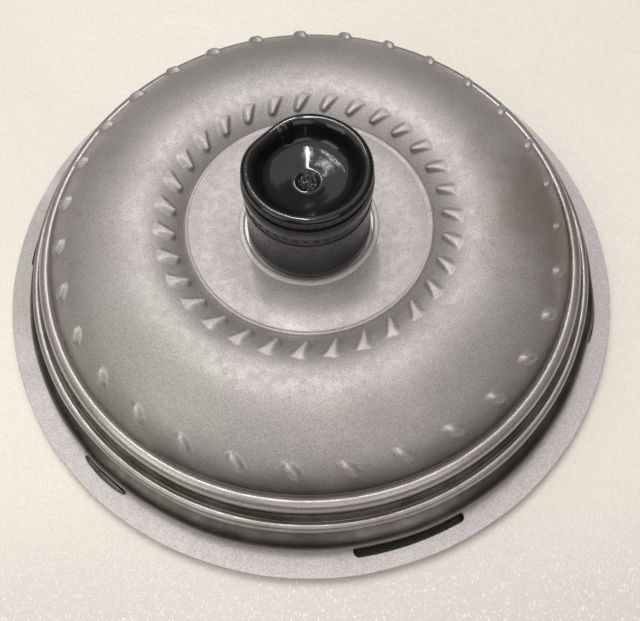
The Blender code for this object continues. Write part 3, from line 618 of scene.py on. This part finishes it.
class Steel(Enum):
    """Finishes of the metal and moulded pieces."""

    SHELL = Finish(
        "shell_steel",
        (0.52, 0.485, 0.475),
        (0.48, 0.445, 0.435),
        metallic=0.62,
        rough=(0.43, 0.51),
        grain=2300,
        grain_colour=0.32,
        stain=(0.34, 0.33, 0.25),
        stain_share=0.14,
        wear_share=0.03,
        stains_and_painted_light=(
            # Painted light: a greenish pool from the left lamp on the lower left of the slope.
            Patch((-0.07, -0.07, 0.045), 0.06, (0.50, 0.51, 0.40), 0.45),
            Patch((0.098, 0.0, 0.045), 0.05, (0.28, 0.21, 0.15), 0.6),
            Patch((0.006, -0.086, 0.055), 0.016, (0.66, 0.56, 0.52), 0.5, 240),
            Patch((0.034, -0.083, 0.054), 0.014, (0.62, 0.53, 0.48), 0.35, 300),
            Patch((-0.02, 0.1, 0.05), 0.05, (0.34, 0.34, 0.30), 0.4),
            # Painted light: the disc lightened at the front, where the cap shades it.
            Patch((0.0, -0.042, 0.048), 0.022, (0.72, 0.67, 0.66), 0.6),
        ),
        # Painted shade: near black on the ring's side below its crest, and on the slope above the
        # seam groove, fading out upwards.
        bands=(
            Band(0.0359, 0.0364, 0.0475, (0.06, 0.056, 0.042), 0.95),
            Band(0.022, 0.025, 0.0352, (0.07, 0.065, 0.05), 0.9),
        ),
        lower=(0.036, 0.42),
    )
    COVER = Finish(
        "shell_steel",
        (0.50, 0.46, 0.43),
        (0.42, 0.39, 0.36),
        metallic=0.85,
        rough=(0.28, 0.4),
        grain=2000,
        stain=(0.2, 0.17, 0.12),
        stain_share=0.3,
        wear_share=0.05,
        # Painted shade: near black on the upper wall, in the crease and under the lip's crest; the
        # weak third band darkens the lower wall to brown-grey.
        bands=(
            Band(0.0105, 0.013, 0.0195, (0.04, 0.036, 0.027), 0.95),
            Band(0.0135, 0.018, 0.0248, (0.045, 0.04, 0.03), 0.9),
            Band(0.004, 0.007, 0.016, (0.14, 0.13, 0.11), 0.35),
        ),
    )
    FLANGE = Finish(
        "flange_steel",
        (0.69, 0.64, 0.63),
        (0.67, 0.62, 0.61),
        metallic=0.5,
        rough=(0.48, 0.55),
        grain=1900,
        grain_colour=0.25,
        stain=(0.42, 0.38, 0.28),
        stain_share=0.12,
        wear_share=0.04,
        # Painted shade: the flange darker on its left side.
        stains_and_painted_light=(Patch((-0.135, 0.01, 0.005), 0.075, (0.42, 0.40, 0.36), 0.6),),
    )
    # Dark weld colour is painted shade of the groove that the closing weld fills; the flange weld
    # beads share it.
    WELD = Finish(
        "weld_metal",
        (0.20, 0.185, 0.165),
        (0.10, 0.09, 0.075),
        rough=(0.35, 0.5),
        cloud=90,
        grain=2400,
        stain=(0.08, 0.06, 0.04),
        stain_share=0.3,
        wear_share=0.05,
    )
    MACHINED = Finish(
        "machined_steel",
        (0.62, 0.60, 0.58),
        (0.50, 0.48, 0.46),
        rough=(0.3, 0.4),
        grain=2800,
        grain_depth=0.00001,
        turning=500,
        stain_share=0.15,
    )
    BLADE = Finish(
        "blade_steel", (0.50, 0.48, 0.44), (0.38, 0.35, 0.31), rough=(0.3, 0.46), stain_share=0.35
    )
    ALUMINIUM = Finish(
        "cast_aluminium",
        (0.72, 0.72, 0.71),
        (0.58, 0.58, 0.57),
        rough=(0.42, 0.6),
        grain=1500,
        grain_depth=0.00006,
        stain_share=0.1,
    )
    PAPER = Finish(
        "friction_paper",
        (0.30, 0.22, 0.13),
        (0.20, 0.14, 0.08),
        metallic=0,
        rough=(0.8, 0.95),
        grain=2600,
        grain_depth=0.00008,
        stretch=(1, 3, 1),
        stain=(0.1, 0.07, 0.04),
        wear_share=0,
    )
    SPRING = Finish(
        "spring_steel", (0.26, 0.27, 0.30), (0.16, 0.16, 0.19), rough=(0.25, 0.4), stain_share=0.1
    )
    BEARING = Finish(
        "bearing_steel",
        (0.70, 0.70, 0.70),
        (0.60, 0.60, 0.60),
        rough=(0.12, 0.22),
        turning=1400,
        stain_share=0.05,
    )
    RUBBER = Finish(
        "seal_rubber",
        (0.04, 0.04, 0.04),
        (0.02, 0.02, 0.02),
        metallic=0,
        rough=(0.5, 0.7),
        stain_share=0.05,
        wear_share=0,
    )
    PLASTIC = Finish(
        "cap_plastic",
        (0.007, 0.007, 0.008),
        (0.005, 0.005, 0.006),
        metallic=0,
        rough=(0.06, 0.12),
        cloud=60,
        grain=700,
        grain_depth=0.000008,
        stain=(0.012, 0.012, 0.014),
        wear_share=0,
        coat=0.3,
        lower=(0.0785, 4.0),
    )

    def material(self) -> bpy.types.Material:
        """The finish's material, made once."""
        name = self.name.lower()
        return bpy.data.materials.get(name) or paint(self.value, name)


@dataclass
class Assembly:
    """Pieces that share a body.

    Args:
        body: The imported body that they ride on.
    """

    body: str = "housing"

    def add(
        self, name: str, grids: Sequence[Grid], finish: Steel, *nodes: str, sharp: float = 32
    ) -> bpy.types.Object:
        """Make a piece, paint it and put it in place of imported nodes.

        Args:
            name: Piece name.
            grids: Its surfaces.
            finish: Its finish.
            nodes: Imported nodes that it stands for.
            sharp: Angle over which an edge stays sharp.

        Returns:
            The piece.
        """
        piece = mesh_object(name, grids, sharp)
        piece.data.materials.append(finish.material())
        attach(piece, self.body)
        if nodes:
            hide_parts(*nodes)
        return piece


# Impeller side


@dataclass
class Wedges:
    """Wedges pressed out round the inner slope, each highest at its rounded inner end.

    Args:
        count: Number round the turn.
        first: Angle of one of them, in radians.
        radius: Their middle, from the axis.
        lean: How far each leans clockwise from the radius.
        width: Across a wedge.
        inner: From the middle to the rounded end.
        outer: From the middle to the point.
        slant: How much shorter the anticlockwise side is.
        height: Highest place.
        flare: How fast a wedge widens outwards, per millimetre.
        steep: Run of its steep side.
        gentle: Run of its gentle side.
        nose: Run of its rounded end.
        climb: Length over which it rises from the point.
    """

    count: int = 31
    first: float = math.radians(92.02)
    radius: float = 60.9 * MM
    lean: float = math.radians(31)
    width: float = 6.4 * MM
    inner: float = 4.9 * MM
    outer: float = 5.6 * MM
    slant: float = 2.6 * MM
    height: float = 2.7 * MM
    flare: float = 0.045
    steep: float = 1.7 * MM
    gentle: float = 3.2 * MM
    nose: float = 1.3 * MM
    climb: float = 9.0 * MM

    def relief(self, radius: np.ndarray, angle: np.ndarray) -> np.ndarray:
        """Height as the product of two sides, the rounded end and a ramp from the point.

        Args:
            radius: From the axis, broadcast against angle.
            angle: Round the axis.

        Returns:
            Heights over the slope.
        """
        out = radius - self.radius
        across = nearest(angle, self.first, self.count) * radius
        along = out * math.cos(self.lean) - across * math.sin(self.lean)
        side = out * math.sin(self.lean) + across * math.cos(self.lean)
        half = self.width / 2 * (1 + self.flare * np.clip(along / MM, -4, 6))
        start = half - self.inner
        to_end = half - np.hypot(np.minimum(along - start, 0), side)
        to_point = self.outer - self.slant * (side + half) / (2 * half) - along
        sides = rise((side + half) / self.steep) * rise((half - side) / self.gentle)
        ramp = np.clip(to_point / self.climb, 0, 1) ** 0.9
        return self.height * sides * rise(to_end / self.nose) * ramp


@dataclass
class Drops:
    """Raised drops round the outer slope, each half an ellipsoid.

    Args:
        count: Number round the turn.
        first: Angle of one of them, in radians.
        radius: Their middle, from the axis.
        lean: How far each leans anticlockwise from the radius.
        half_length: Half a drop's length along the lean.
        half_width: Half its width.
        height: Highest place.
        slope: Length along the sheet for each length outwards.
        foot: Height of the sheet under which there are none.
    """

    count: int = 31
    first: float = math.radians(183.44)
    radius: float = 106.4 * MM
    lean: float = math.radians(45)
    half_length: float = 5.2 * MM
    half_width: float = 2.7 * MM
    height: float = 2.2 * MM
    slope: float = 1.35
    foot: float = 0.036

    def relief(self, radius: np.ndarray, height: np.ndarray, angle: np.ndarray) -> np.ndarray:
        """Height that falls from the middle to an elliptical edge.

        Args:
            radius: From the axis.
            height: Above the floor.
            angle: Round the axis.

        Returns:
            Heights, zero away from the drops.
        """
        out = (radius - self.radius) * self.slope
        across = nearest(angle, self.first, self.count) * radius
        along = out * math.cos(self.lean) + across * math.sin(self.lean)
        side = out * math.sin(self.lean) - across * math.cos(self.lean)
        inside = 1 - (side / self.half_width) ** 2 - (along / self.half_length) ** 2
        return self.height * rise(1.15 * inside) * (height > self.foot)


@dataclass
class ImpellerSide(Assembly):
    """Shell with its wedges and drops, the centre disc, hub and welds.

    Args:
        steps: Columns of the shell.
        seam: Height of the seam.
        middle: Radius of the circuit's middle.
        crown: Height of the crown.
        outer: Reach of the outer slope, and its rise over the seam.
        inner: Reach of the inner slope, and its fall to the valley.
        wedges: Wedges of the inner slope.
        drops: Drops of the outer slope.
    """

    steps: int = 837
    seam: float = 34.0
    middle: float = 77.0
    crown: float = 56.4
    outer: Point = (36.4, 22.4)
    inner: Point = (23.5, 7.6)
    wedges: Wedges = field(default_factory=Wedges)
    drops: Drops = field(default_factory=Drops)

    def slope_out(self, count: int) -> np.ndarray:
        """Seam to crown: radius and height are powers of cosine and sine.

        Args:
            count: Number of steps.

        Returns:
            Points in millimetres.
        """
        share = np.linspace(0, 1, count)
        a = np.interp(share, (0, 0.08, 0.66, 1), (0.02, 0.24, 0.85, math.pi / 2))
        (reach, climb), power = self.outer, 1.111
        radius = self.middle + reach * np.cos(a) ** power
        return np.stack([radius, self.seam + climb * np.sin(a) ** power], axis=1)

    def slope_in(self, count: int) -> np.ndarray:
        """Crown to valley: the height falls with a power of the way in.

        Args:
            count: Number of steps.

        Returns:
            Points in millimetres.
        """
        u = np.concatenate([np.linspace(0, 0.38, 7, endpoint=False), np.linspace(0.38, 1, count)])
        reach, fall = self.inner
        return np.stack([self.middle - reach * u, self.crown - fall * u**2.45], axis=1)

    def shell(self) -> None:
        """Turn the section, with wedges and drops as relief along its normals."""
        skirt = straight([(119.0, 19.6), (119.05, 27.2)], 4)
        ring = flowing(
            [(119.05, 28.6), (119.1, 31.4), (118.7, 33.6), (117.5, 35.1), (115.8, 35.8)], 4
        )
        groove = flowing([(114.6, 35.6), (113.8, 34.8), (113.5, 34.2), (113.3, 34.9)], 3)
        lip = flowing([(53.4, 48.6), (53.1, 48.55), (52.85, 49.5), (52.3, 50.0), (51.4, 49.8)], 2)
        disc = straight([(50.9, 49.6), (50.6, 49.66), (40.0, 48.4), (29.0, 47.75)], 12)
        back = straight([(29.0, 44.75), (51.5, 46.7), (56.5, 47.2), (77.0, 53.4), (98.0, 50.0)], 40)
        back = np.concatenate([back, straight([(110.4, 34.0), (116.0, 30.5), (116.0, 19.6)], 40)])
        slopes = self.slope_out(44), self.slope_in(34)[1:]
        line = section(skirt, ring, groove, *slopes, lip, disc, back)
        angles = columns(self.steps)
        radius, height = line[None, :, 0], line[None, :, 1]
        outside = np.arange(len(line))[None, :] < len(line) - len(back)
        turn = angles[:, None]
        valley, crown, seam = 0.0532, 0.077, 0.1134
        relief = self.wedges.relief(radius, turn) * (radius < crown) * (radius > valley)
        relief = relief + self.drops.relief(radius, height, turn) * (radius < seam)
        ripple = 0.00018 * np.sin(5 * turn + 1) + 0.0001 * np.sin(11 * turn)
        relief = relief + ripple * rise((radius - 0.06) / 0.015) * rise((0.112 - radius) / 0.01)
        grid = turned_grid(line, angles, relief * outside)
        self.add("impeller_shell_body", [grid], Steel.SHELL, "impeller_shell", sharp=40)

    def closing_weld(self) -> None:
        """Ring of weld in the groove, rippled along its length."""
        line = section(
            flowing([(119.2, 24.2), (120.9, 24.4), (121.0, 25.3), (120.6, 26.1), (120.1, 26.7)], 3),
            flowing([(119.9, 27.2), (119.7, 27.9), (119.2, 28.3)], 3),
        )
        angles = columns(1080)
        turn, row = angles[:, None], np.arange(len(line))[None, :]
        chevron = np.abs(np.sin(120 * turn + 0.35 * row))
        relief = 0.00005 * chevron + 0.00006 * np.sin(17 * turn + 2) * np.sin(5 * turn)
        bare = line[None, :, 0] > 0.1194
        grid = turned_grid(line, angles, relief * bare)
        self.add("closing_weld_bead", [grid], Steel.WELD, "closing_weld")

    def hub_weld(self) -> None:
        """Low bead of small ripples round the hub's base."""
        line = section(
            flowing([(30.0, 47.9), (29.85, 48.35), (29.3, 48.55), (28.1, 48.6), (27.3, 48.1)], 3)
        )
        angles = columns(360)
        ripple = 0.000015 * np.sin(70 * angles[:, None] + 0.5 * np.arange(len(line))[None, :])
        self.add("hub_weld_bead", [turned_grid(line, angles, ripple)], Steel.FLANGE, "hub_weld")

    def hub(self) -> None:
        """Tube with two drive notches: four arcs of columns, the notch floors lower."""
        half, notch = 4.0 * MM, 76.9 * MM
        outside = [(28.6, 44.4), (28.6, 48.0), (24.6, 48.0), (24.1, 48.5), (24.0, 49.2)]
        end = [(24.0, 82.9), (23.0, 83.9), (21.1, 83.9), (20.5, 83.3)]
        line = section(straight([*outside, *end, (20.5, 45.4), (20.5, 44.9), (21.0, 44.4)]))
        radius = line[:, 0]
        side = np.arcsin(half / radius)
        in_notch, between = np.linspace(0, 1, 9)[:, None], np.linspace(0, 1, 52)[:, None]
        turns = []
        for centre in (math.pi / 2, 3 * math.pi / 2):
            turns.append(centre - side + 2 * side * in_notch)
            turns.append(centre + side + (math.pi - 2 * side) * between)
        low = np.tile(np.repeat([True, False], [len(in_notch), len(between)]), 2)
        points = turned_grid(line, np.concatenate(turns)).points
        cut = low[:, None] & (points[..., 2] > notch)
        points[..., 2] = np.where(cut, notch, points[..., 2])
        self.add("pump_hub_body", [Grid(points, closed=True)], Steel.MACHINED, "pump_hub")

    def build(self) -> None:
        """Make every piece of the impeller side."""
        self.shell()
        self.closing_weld()
        self.hub_weld()
        self.hub()


# Engine side


@dataclass
class EngineSide(Assembly):
    """Cover, flange with its slots and beads, drive bosses and pilot.

    Args:
        wall: Radius of the cover's wall, in millimetres.
        slot_first: Angle of one slot's middle.
        slot_span: Angle that a slot takes.
        slot_middle: Radius of a slot's middle line.
        slot_half: Half a slot's width.
        boss_circle: Radius of the bosses' circle.
    """

    wall: float = 130.4
    slot_first: float = math.radians(-73.6)
    slot_span: float = math.radians(21.3)
    slot_middle: float = 130.9
    slot_half: float = 2.5
    boss_circle: float = 98.4

    def cover(self) -> None:
        """Pressed cup with a rounded wall, a crease and the thick lip over it."""
        floor = straight([(0.0, 5.3), (110.0, 5.3), (127.6, 5.3)], 40)
        wall = [(128.6, 5.5), (130.0, 6.8), (130.4, 9.0), (130.0, 11.4), (128.7, 13.6)]
        wall = flowing([*wall, (126.4, 15.2)], 3)
        crease = flowing([(124.6, 15.9), (123.0, 16.5), (123.3, 17.6)], 2)
        lip = [(124.2, 18.6), (124.95, 21.0), (124.8, 23.4), (123.9, 25.0), (122.4, 25.3)]
        lip = flowing([*lip, (121.2, 24.6)], 4)
        inside = [(119.4, 25.2), (119.3, 13.0), (124.0, 11.4), (127.2, 9.5), (125.6, 8.3)]
        inside = np.concatenate([straight(inside, 60), straight([(60.0, 8.3), (0.0, 8.3)])])
        line = section(floor, wall, crease, lip, inside)
        angles = columns(540)
        turn = angles[:, None]
        radius, height = line[None, :, 0], line[None, :, 1]
        low, high, fade = 7 * MM, 16 * MM, 3 * MM
        outer = radius > 120 * MM
        uneven = 0.00012 * np.sin(7 * turn + 2) + 0.00008 * np.sin(19 * turn)
        on_wall = rise((height - low) / fade) * rise((high - height) / fade) * outer
        smear = swell(turn, math.radians(-12), math.radians(4.5))
        smear = smear + 0.6 * swell(turn, math.radians(-136), math.radians(3.2), 3)
        front = (np.arange(len(line)) < len(line) - len(inside))[None, :]
        relief = (uneven * outer + 0.0007 * smear * on_wall) * front
        self.add("front_cover_cup", [turned_grid(line, angles, relief)], Steel.COVER, "front_cover")

    def flange(self) -> None:
        """Flat ring in two bands that part round each slot, whose half width is that of a
        stadium: full along the middle and a half circle at each end."""
        inner, outer, bottom, top, chamfer = 112.4, 140.1, 3.0, 5.0, 0.25
        near_bore, near_edge, narrowest = 124.0, 136.0, 0.02
        straight_half = self.slot_span / 2 - self.slot_half / self.slot_middle
        bend = self.slot_half / self.slot_middle * np.sin(np.linspace(0, math.pi / 2, 9))
        ends = np.concatenate([straight_half + bend, -straight_half - bend])
        starts = self.slot_first + TAU * np.arange(3)[:, None] / 3
        angles = np.unique(np.round((np.r_[columns(720), (starts + ends).ravel()]) % TAU, 6))
        away = nearest(angles, self.slot_first, 3)
        past = np.maximum(np.abs(away) - straight_half, 0) * self.slot_middle
        gap = np.sqrt(np.maximum(self.slot_half**2 - past**2, 0))
        gap = np.where(gap < narrowest, 0, gap)
        nick = 0.9 * swell(angles, math.radians(-9.9), 0.9 / outer)
        edge = outer - nick - 0.12 * (np.sin(9 * angles) + np.sin(23 * angles + 1)) * 0.5
        one = np.ones_like(angles)

        def rows(pairs: Sequence[tuple[np.ndarray, float]]) -> np.ndarray:
            """Points in metres of rows, each a radius for every column and a height."""
            radius = np.stack([r for r, _ in pairs], axis=1)
            return around(radius, angles[:, None], np.array([z for _, z in pairs])) * MM

        low, high = self.slot_middle - gap, self.slot_middle + gap
        rim = [(high, top), (one * near_edge, top), (edge - chamfer, top), (edge, top - chamfer)]
        rim = rows([*rim, (edge, bottom + chamfer), (edge - chamfer, bottom), (high, bottom)])
        bore = [(low, bottom), (one * inner, bottom), (one * inner, top), (one * near_bore, top)]
        bore = rows([*bore, (low, top)])
        opened = (gap > 0) | (np.roll(gap, -1) > 0)
        walls = [
            Grid(rows([(high, bottom), (high, top)]), keep=opened[:, None]),
            Grid(rows([(low, top), (low, bottom)]), keep=opened[:, None]),
        ]
        self.add(
            "mounting_flange_ring", [Grid(rim), Grid(bore), *walls], Steel.FLANGE, "mounting_flange"
        )

    def flange_weld(self, number: int) -> None:
        """Bead in the corner under the wall, tapering to both ends with a ripple along it.

        Args:
            number: Which of the three.
        """
        middle = math.radians(-13.6) + TAU * (number - 1) / 3
        along = np.linspace(-1, 1, 61)[:, None]
        turn = columns(20)[None, :]
        size = 1.5 * np.sqrt(np.maximum(1 - along**2, 0)) ** 0.8
        size = size * (1 + 0.03 * np.sin(along * 34 + 0.6 * np.sin(turn)))
        angle = middle + along * math.radians(5.4)
        radius = self.wall + 0.9 + size * np.cos(turn)
        points = around(radius, angle, 6.0 + size * np.sin(turn)) * MM
        grid = Grid(points, wraps=False, closed=True)
        self.add(f"flange_weld_bead_{number}", [grid], Steel.WELD, f"flange_weld_{number}")

    def boss(self, number: int) -> None:
        """Turned block with a threaded hole: its bore is a row of small V grooves.

        Args:
            number: Which of the six.
        """
        angle = self.slot_first + TAU * (number - 0.5) / 6
        ridges = [(4.2 + 0.35 * (k % 2), 4.8 - 0.5 * k) for k in range(9)]
        line = section(
            straight([(4.9, 0.0), (9.0, 0.0), (9.8, 0.35), (10.0, 1.0), (10.0, 4.98)]),
            straight([(4.2, 4.98), *ridges, (4.25, 0.6)]),
        )
        grid = turned_grid(line, columns(96))
        shift = np.array([math.cos(angle), math.sin(angle), 0]) * self.boss_circle * MM
        grid.points = grid.points + shift
        name = f"drive_boss_block_{number}"
        self.add(name, [grid], Steel.MACHINED, f"drive_boss_{number}", sharp=25)

    def pilot(self) -> None:
        """Turned disc with a centre drilling and a chamfered edge."""
        line = section(
            straight([(0.0, 3.4), (1.0, 2.4), (3.2, 0.5), (19.0, 0.5), (19.7, 0.9), (20.0, 1.6)]),
            straight([(20.0, 4.98), (0.0, 4.98)]),
        )
        grid = turned_grid(line, columns(144))
        self.add("crank_pilot_disc", [grid], Steel.MACHINED, "crank_pilot", sharp=25)

    def build(self) -> None:
        """Make every piece of the engine side."""
        self.cover()
        self.flange()
        for number in (1, 2, 3):
            self.flange_weld(number)
        for number in range(1, 7):
            self.boss(number)
        self.pilot()


# Transport cap


@dataclass
class TransportCap(Assembly):
    """Moulded cap with a dented rolled rim, a ridge, a band of marks and a dished floor.

    Args:
        body: The cap's own body.
        dent: Angle of the dent in the rim.
        fold: Angle of the fold down the well beside it.
        marks: How many raised marks would fill the band.
    """

    body: str = "cap"
    dent: float = math.radians(133)
    fold: float = math.radians(112)
    marks: int = 40

    def build(self) -> None:
        """Turn the section; the dent pulls the rim in and the marks stand proud."""
        skirt = straight([(25.9, 48.62), (26.05, 49.0), (26.05, 52.0), (25.8, 52.4)], 1)
        side = straight([(25.6, 71.9), (25.85, 72.5), (25.85, 72.9), (25.5, 73.3)], 4)
        band = straight([(25.5, 73.6), (25.5, 77.7), (26.0, 78.4), (26.15, 79.6)], 0.35)
        ridge = flowing([(26.2, 81.0), (26.1, 82.8), (25.6, 84.0), (24.9, 85.0), (24.7, 86.2)], 3)
        rim = [(25.1, 87.0), (25.6, 88.1), (25.1, 89.3), (23.9, 90.0), (22.5, 89.9)]
        rim = flowing([*rim, (21.2, 89.1)], 5)
        well = flowing([(20.2, 87.7), (19.0, 85.1), (17.6, 83.0), (15.6, 81.8), (13.0, 81.1)], 5)
        floor = straight([(12.0, 80.9), (8.0, 80.0), (5.6, 79.4)], 1)
        gate = flowing(
            [(4.9, 79.5), (4.3, 79.1), (3.6, 78.5), (2.4, 78.35), (1.2, 78.5), (0.0, 78.4)], 4
        )
        under = straight([(0.0, 76.8), (15.6, 79.6), (17.6, 80.5), (19.6, 83.5), (20.4, 84.9)], 20)
        under = np.concatenate([under, straight([(24.4, 84.9), (24.4, 48.62)], 20)])
        line = section(skirt, side, band, ridge, rim, well, floor, gate, under)
        shown = (np.arange(len(line)) < len(line) - len(under))[None, :]
        angles = columns(360)
        turn = angles[:, None]
        radius, height = line[None, :, 0], line[None, :, 1]
        wide, tall, belt = 0.9 * MM, 1.0 * MM, 75.4 * MM
        cell = nearest(turn, 0.1, self.marks) * radius
        on_mark = rise((wide - np.abs(cell)) / (0.3 * MM))
        on_mark = on_mark * rise((tall - np.abs(height - belt)) / (0.35 * MM))
        facing = rise(1.4 - np.abs(nearest(turn, math.radians(-110), 1)))
        relief = 0.0004 * on_mark * facing * (radius > 0.0252)
        crater = rise((0.0042 - radius) / 0.0012)
        plain = around(radius, turn, height)
        relief = relief + 0.00028 * rough(plain, 0.0028) * crater * (radius > 0.0003)
        relief = relief + 0.00002 * rough(plain, 0.02) * (radius > 0.006)
        fold = swell(turn, self.fold, 0.09)
        relief = relief + 0.0013 * fold * rise((radius - 0.0165) / 0.003) * (radius < 0.0225)
        grid = turned_grid(line, angles, relief * shown)
        x, y, z = np.moveaxis(grid.points, -1, 0)
        reach = np.hypot(x, y)
        pull = swell(np.arctan2(y, x), self.dent, 0.42)
        pull = pull * rise((z - 0.080) / 0.006) * rise((reach - 0.014) / 0.007)
        squeeze = 1 - 0.07 * pull
        grid.points = np.stack([x * squeeze, y * squeeze, z - 0.0008 * pull], axis=-1)
        self.add("transport_cap_moulding", [grid], Steel.PLASTIC, "transport_cap")


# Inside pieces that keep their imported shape

SLOT_FINISH = {finish.value.slot: finish for finish in Steel if finish is not Steel.COVER}


def paint_nodes(frame: dict) -> None:
    """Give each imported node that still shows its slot's finish.
    """
    slots = {row["node"]: row["material_slot"] for row in frame["record"]["subparts"]}
    for name, node in frame["nodes"].items():
        if node.hide_render:
            continue
        node.data.materials.clear()
        node.data.materials.append(SLOT_FINISH[slots[name]].material())


# Stage


@dataclass(frozen=True)
class Lamp:
    """Rectangular light that faces the object.

    Args:
        name: Light name.
        place: Where it hangs.
        size: Its sides.
        power: Watts.
        colour: Its colour.
        shines: Whether glossy surfaces mirror it.
    """

    name: str
    place: Vector3
    size: Point
    power: float
    colour: Colour = (1.0, 0.97, 0.95)
    shines: bool = True

    def hang(self) -> None:
        """Add the light to the scene."""
        data = bpy.data.lights.new(self.name, "AREA")
        data.shape = "RECTANGLE"
        data.size, data.size_y = self.size
        data.energy = self.power
        data.color = self.colour
        lamp = add_object(self.name, data)
        lamp.visible_glossy = self.shines
        turn = (-Vector(self.place)).to_track_quat("-Z", "Y")
        lamp.matrix_world = Matrix.Translation(self.place) @ turn.to_matrix().to_4x4()


LAMPS = (
    Lamp("panel", (-0.3, 0.35, 1.5), (2.4, 1.9), 8),
    Lamp("ceiling", (-0.3, 0.2, 1.5), (2.4, 1.9), 12, shines=False),
    Lamp("front", (0.3, -1.0, 1.1), (1.2, 0.9), 3),
    Lamp("left", (-1.0, -0.7, 1.0), (0.8, 0.8), 3, (0.95, 1.0, 0.9)),
    Lamp("tube", (-0.06, 0.5, 1.5), (0.05, 0.8), 4.5, (1, 1, 1)),
    Lamp("far_tube", (-0.45, 0.55, 1.5), (0.02, 0.7), 0.7, (1, 1, 1)),
)


@dataclass
class Stage:
    """Pale counter, camera and soft light.

    Args:
        reach: Half the counter's side.
        eye: Camera place.
        turn: Camera's turn about X, Y and Z, in degrees.
        lens: Focal length in millimetres.
        shade: Radii between which the painted shade under the object fades out.
    """

    reach: float = 3.0
    eye: Vector3 = (0.0, -0.17722889, 0.34261996)
    turn: Vector3 = (24.7719, 0.36726, -2.11691)
    lens: float = 45.12
    shade: Point = (0.132, 0.1375)

    def counter(self) -> None:
        """Flat counter just under the bosses, cream, with painted glints and painted shade towards
        the front and painted shade under the object.
        """
        side = np.linspace(-self.reach, self.reach, 9)
        x, y = np.meshgrid(side, side, indexing="ij")
        points = np.stack([x, y, np.full_like(x, -0.0002)], axis=-1)[:, ::-1]
        floor = mesh_object("counter", [Grid(points, wraps=False)])
        p = Painter("counter")
        clouds = p.noise(3.5, 3)
        grain = p.noise(1300, 2)
        colour = p.blend(p.ramp(clouds, 0.35, 0.7), (0.88, 0.82, 0.745), (0.83, 0.765, 0.685))
        fleck = p.ramp(p.noise(900, 2), 0.62, 0.7, 0, 0.25)
        colour = p.blend(fleck, colour, (0.95, 0.92, 0.88))
        dull = p.ramp(p.noise(700, 2), 0.3, 0.42, 0.12, 0)
        colour = p.blend(dull, colour, (0.5, 0.42, 0.34))
        away = p.node("ShaderNodeVectorMath", {"operation": "LENGTH"}, in0=p.place).outputs[1]
        ahead = p.node("ShaderNodeSeparateXYZ", in0=p.place).outputs[1]
        # Painted shade: the counter darker towards the front.
        front_painted_light = p.ramp(ahead, -0.17, -0.09, 1, 0)
        colour = p.blend(p.maths("MULTIPLY", front_painted_light, 0.6), colour, (0.62, 0.595, 0.55))
        # Painted glints: white flecks towards the front.
        painted_glint = p.ramp(p.noise(1300, 1, (1, 0.5, 1)), 0.60, 0.70, 0, 0.8)
        colour = p.blend(p.maths("MULTIPLY", painted_glint, front_painted_light), colour, (1, 1, 1))
        # Painted shade under the object, near black inside the flange's edge.
        colour = p.blend(p.ramp(away, *self.shade, 1, 0), colour, (0.012, 0.011, 0.010))
        bump = p.node("ShaderNodeBump", Strength=0.6, Distance=0.0004, Height=grain).outputs[0]
        rough_map = p.ramp(p.noise(250, 2), 0.35, 0.65, 0.14, 0.3)
        p.dress(colour, rough_map, bump)
        floor.data.materials.append(p.material)
        floor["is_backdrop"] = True

    def camera(self) -> None:
        """Camera that looks down on the transmission side from the front."""
        data = bpy.data.cameras.new("camera")
        data.lens = self.lens
        data.sensor_width = 36
        data.clip_start = 0.01
        camera = add_object("camera", data)
        turn = Euler([math.radians(angle) for angle in self.turn])
        camera.matrix_world = Matrix.Translation(self.eye) @ turn.to_matrix().to_4x4()
        bpy.context.scene.camera = camera

    def sky(self) -> None:
        """Room light: bright overhead, dimmer towards the horizon."""
        world = bpy.data.worlds.new("room")
        world.use_nodes = True
        bpy.context.scene.world = world
        tree = world.node_tree
        place = tree.nodes.new("ShaderNodeTexCoord").outputs["Generated"]
        height = tree.nodes.new("ShaderNodeSeparateXYZ")
        tree.links.new(place, height.inputs[0])
        ramp = tree.nodes.new("ShaderNodeValToRGB")
        tree.links.new(height.outputs[2], ramp.inputs[0])
        horizon, overhead = ramp.color_ramp.elements
        horizon.position, horizon.color = 0.05, (0.10, 0.09, 0.085, 1)
        overhead.position, overhead.color = 0.9, (0.95, 0.95, 0.98, 1)
        background = tree.nodes["Background"]
        tree.links.new(ramp.outputs[0], background.inputs["Color"])
        background.inputs["Strength"].default_value = 0.3

    def build(self) -> None:
        """Make the counter, camera and lights."""
        self.counter()
        self.camera()
        self.sky()
        for lamp in LAMPS:
            lamp.hang()
        view = bpy.context.scene.view_settings
        view.view_transform = "Standard"
        view.look = "None"


def clear_scene() -> None:
    """Remove whatever the scene holds."""
    for thing in list(bpy.data.objects):
        bpy.data.objects.remove(thing, do_unlink=True)


def corners() -> list[list[float]]:
    """Lowest and highest corners of the shown object's box."""
    return [list(map(float, corner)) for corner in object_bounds()]


def main() -> None:
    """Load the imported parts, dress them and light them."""
    logging.basicConfig(level=logging.INFO, format="%(message)s")
    clear_scene()
    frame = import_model()
    for assembly in (ImpellerSide(), EngineSide(), TransportCap()):
        assembly.build()
    paint_nodes(frame)
    Stage().build()


if __name__ == "__main__":
    main()
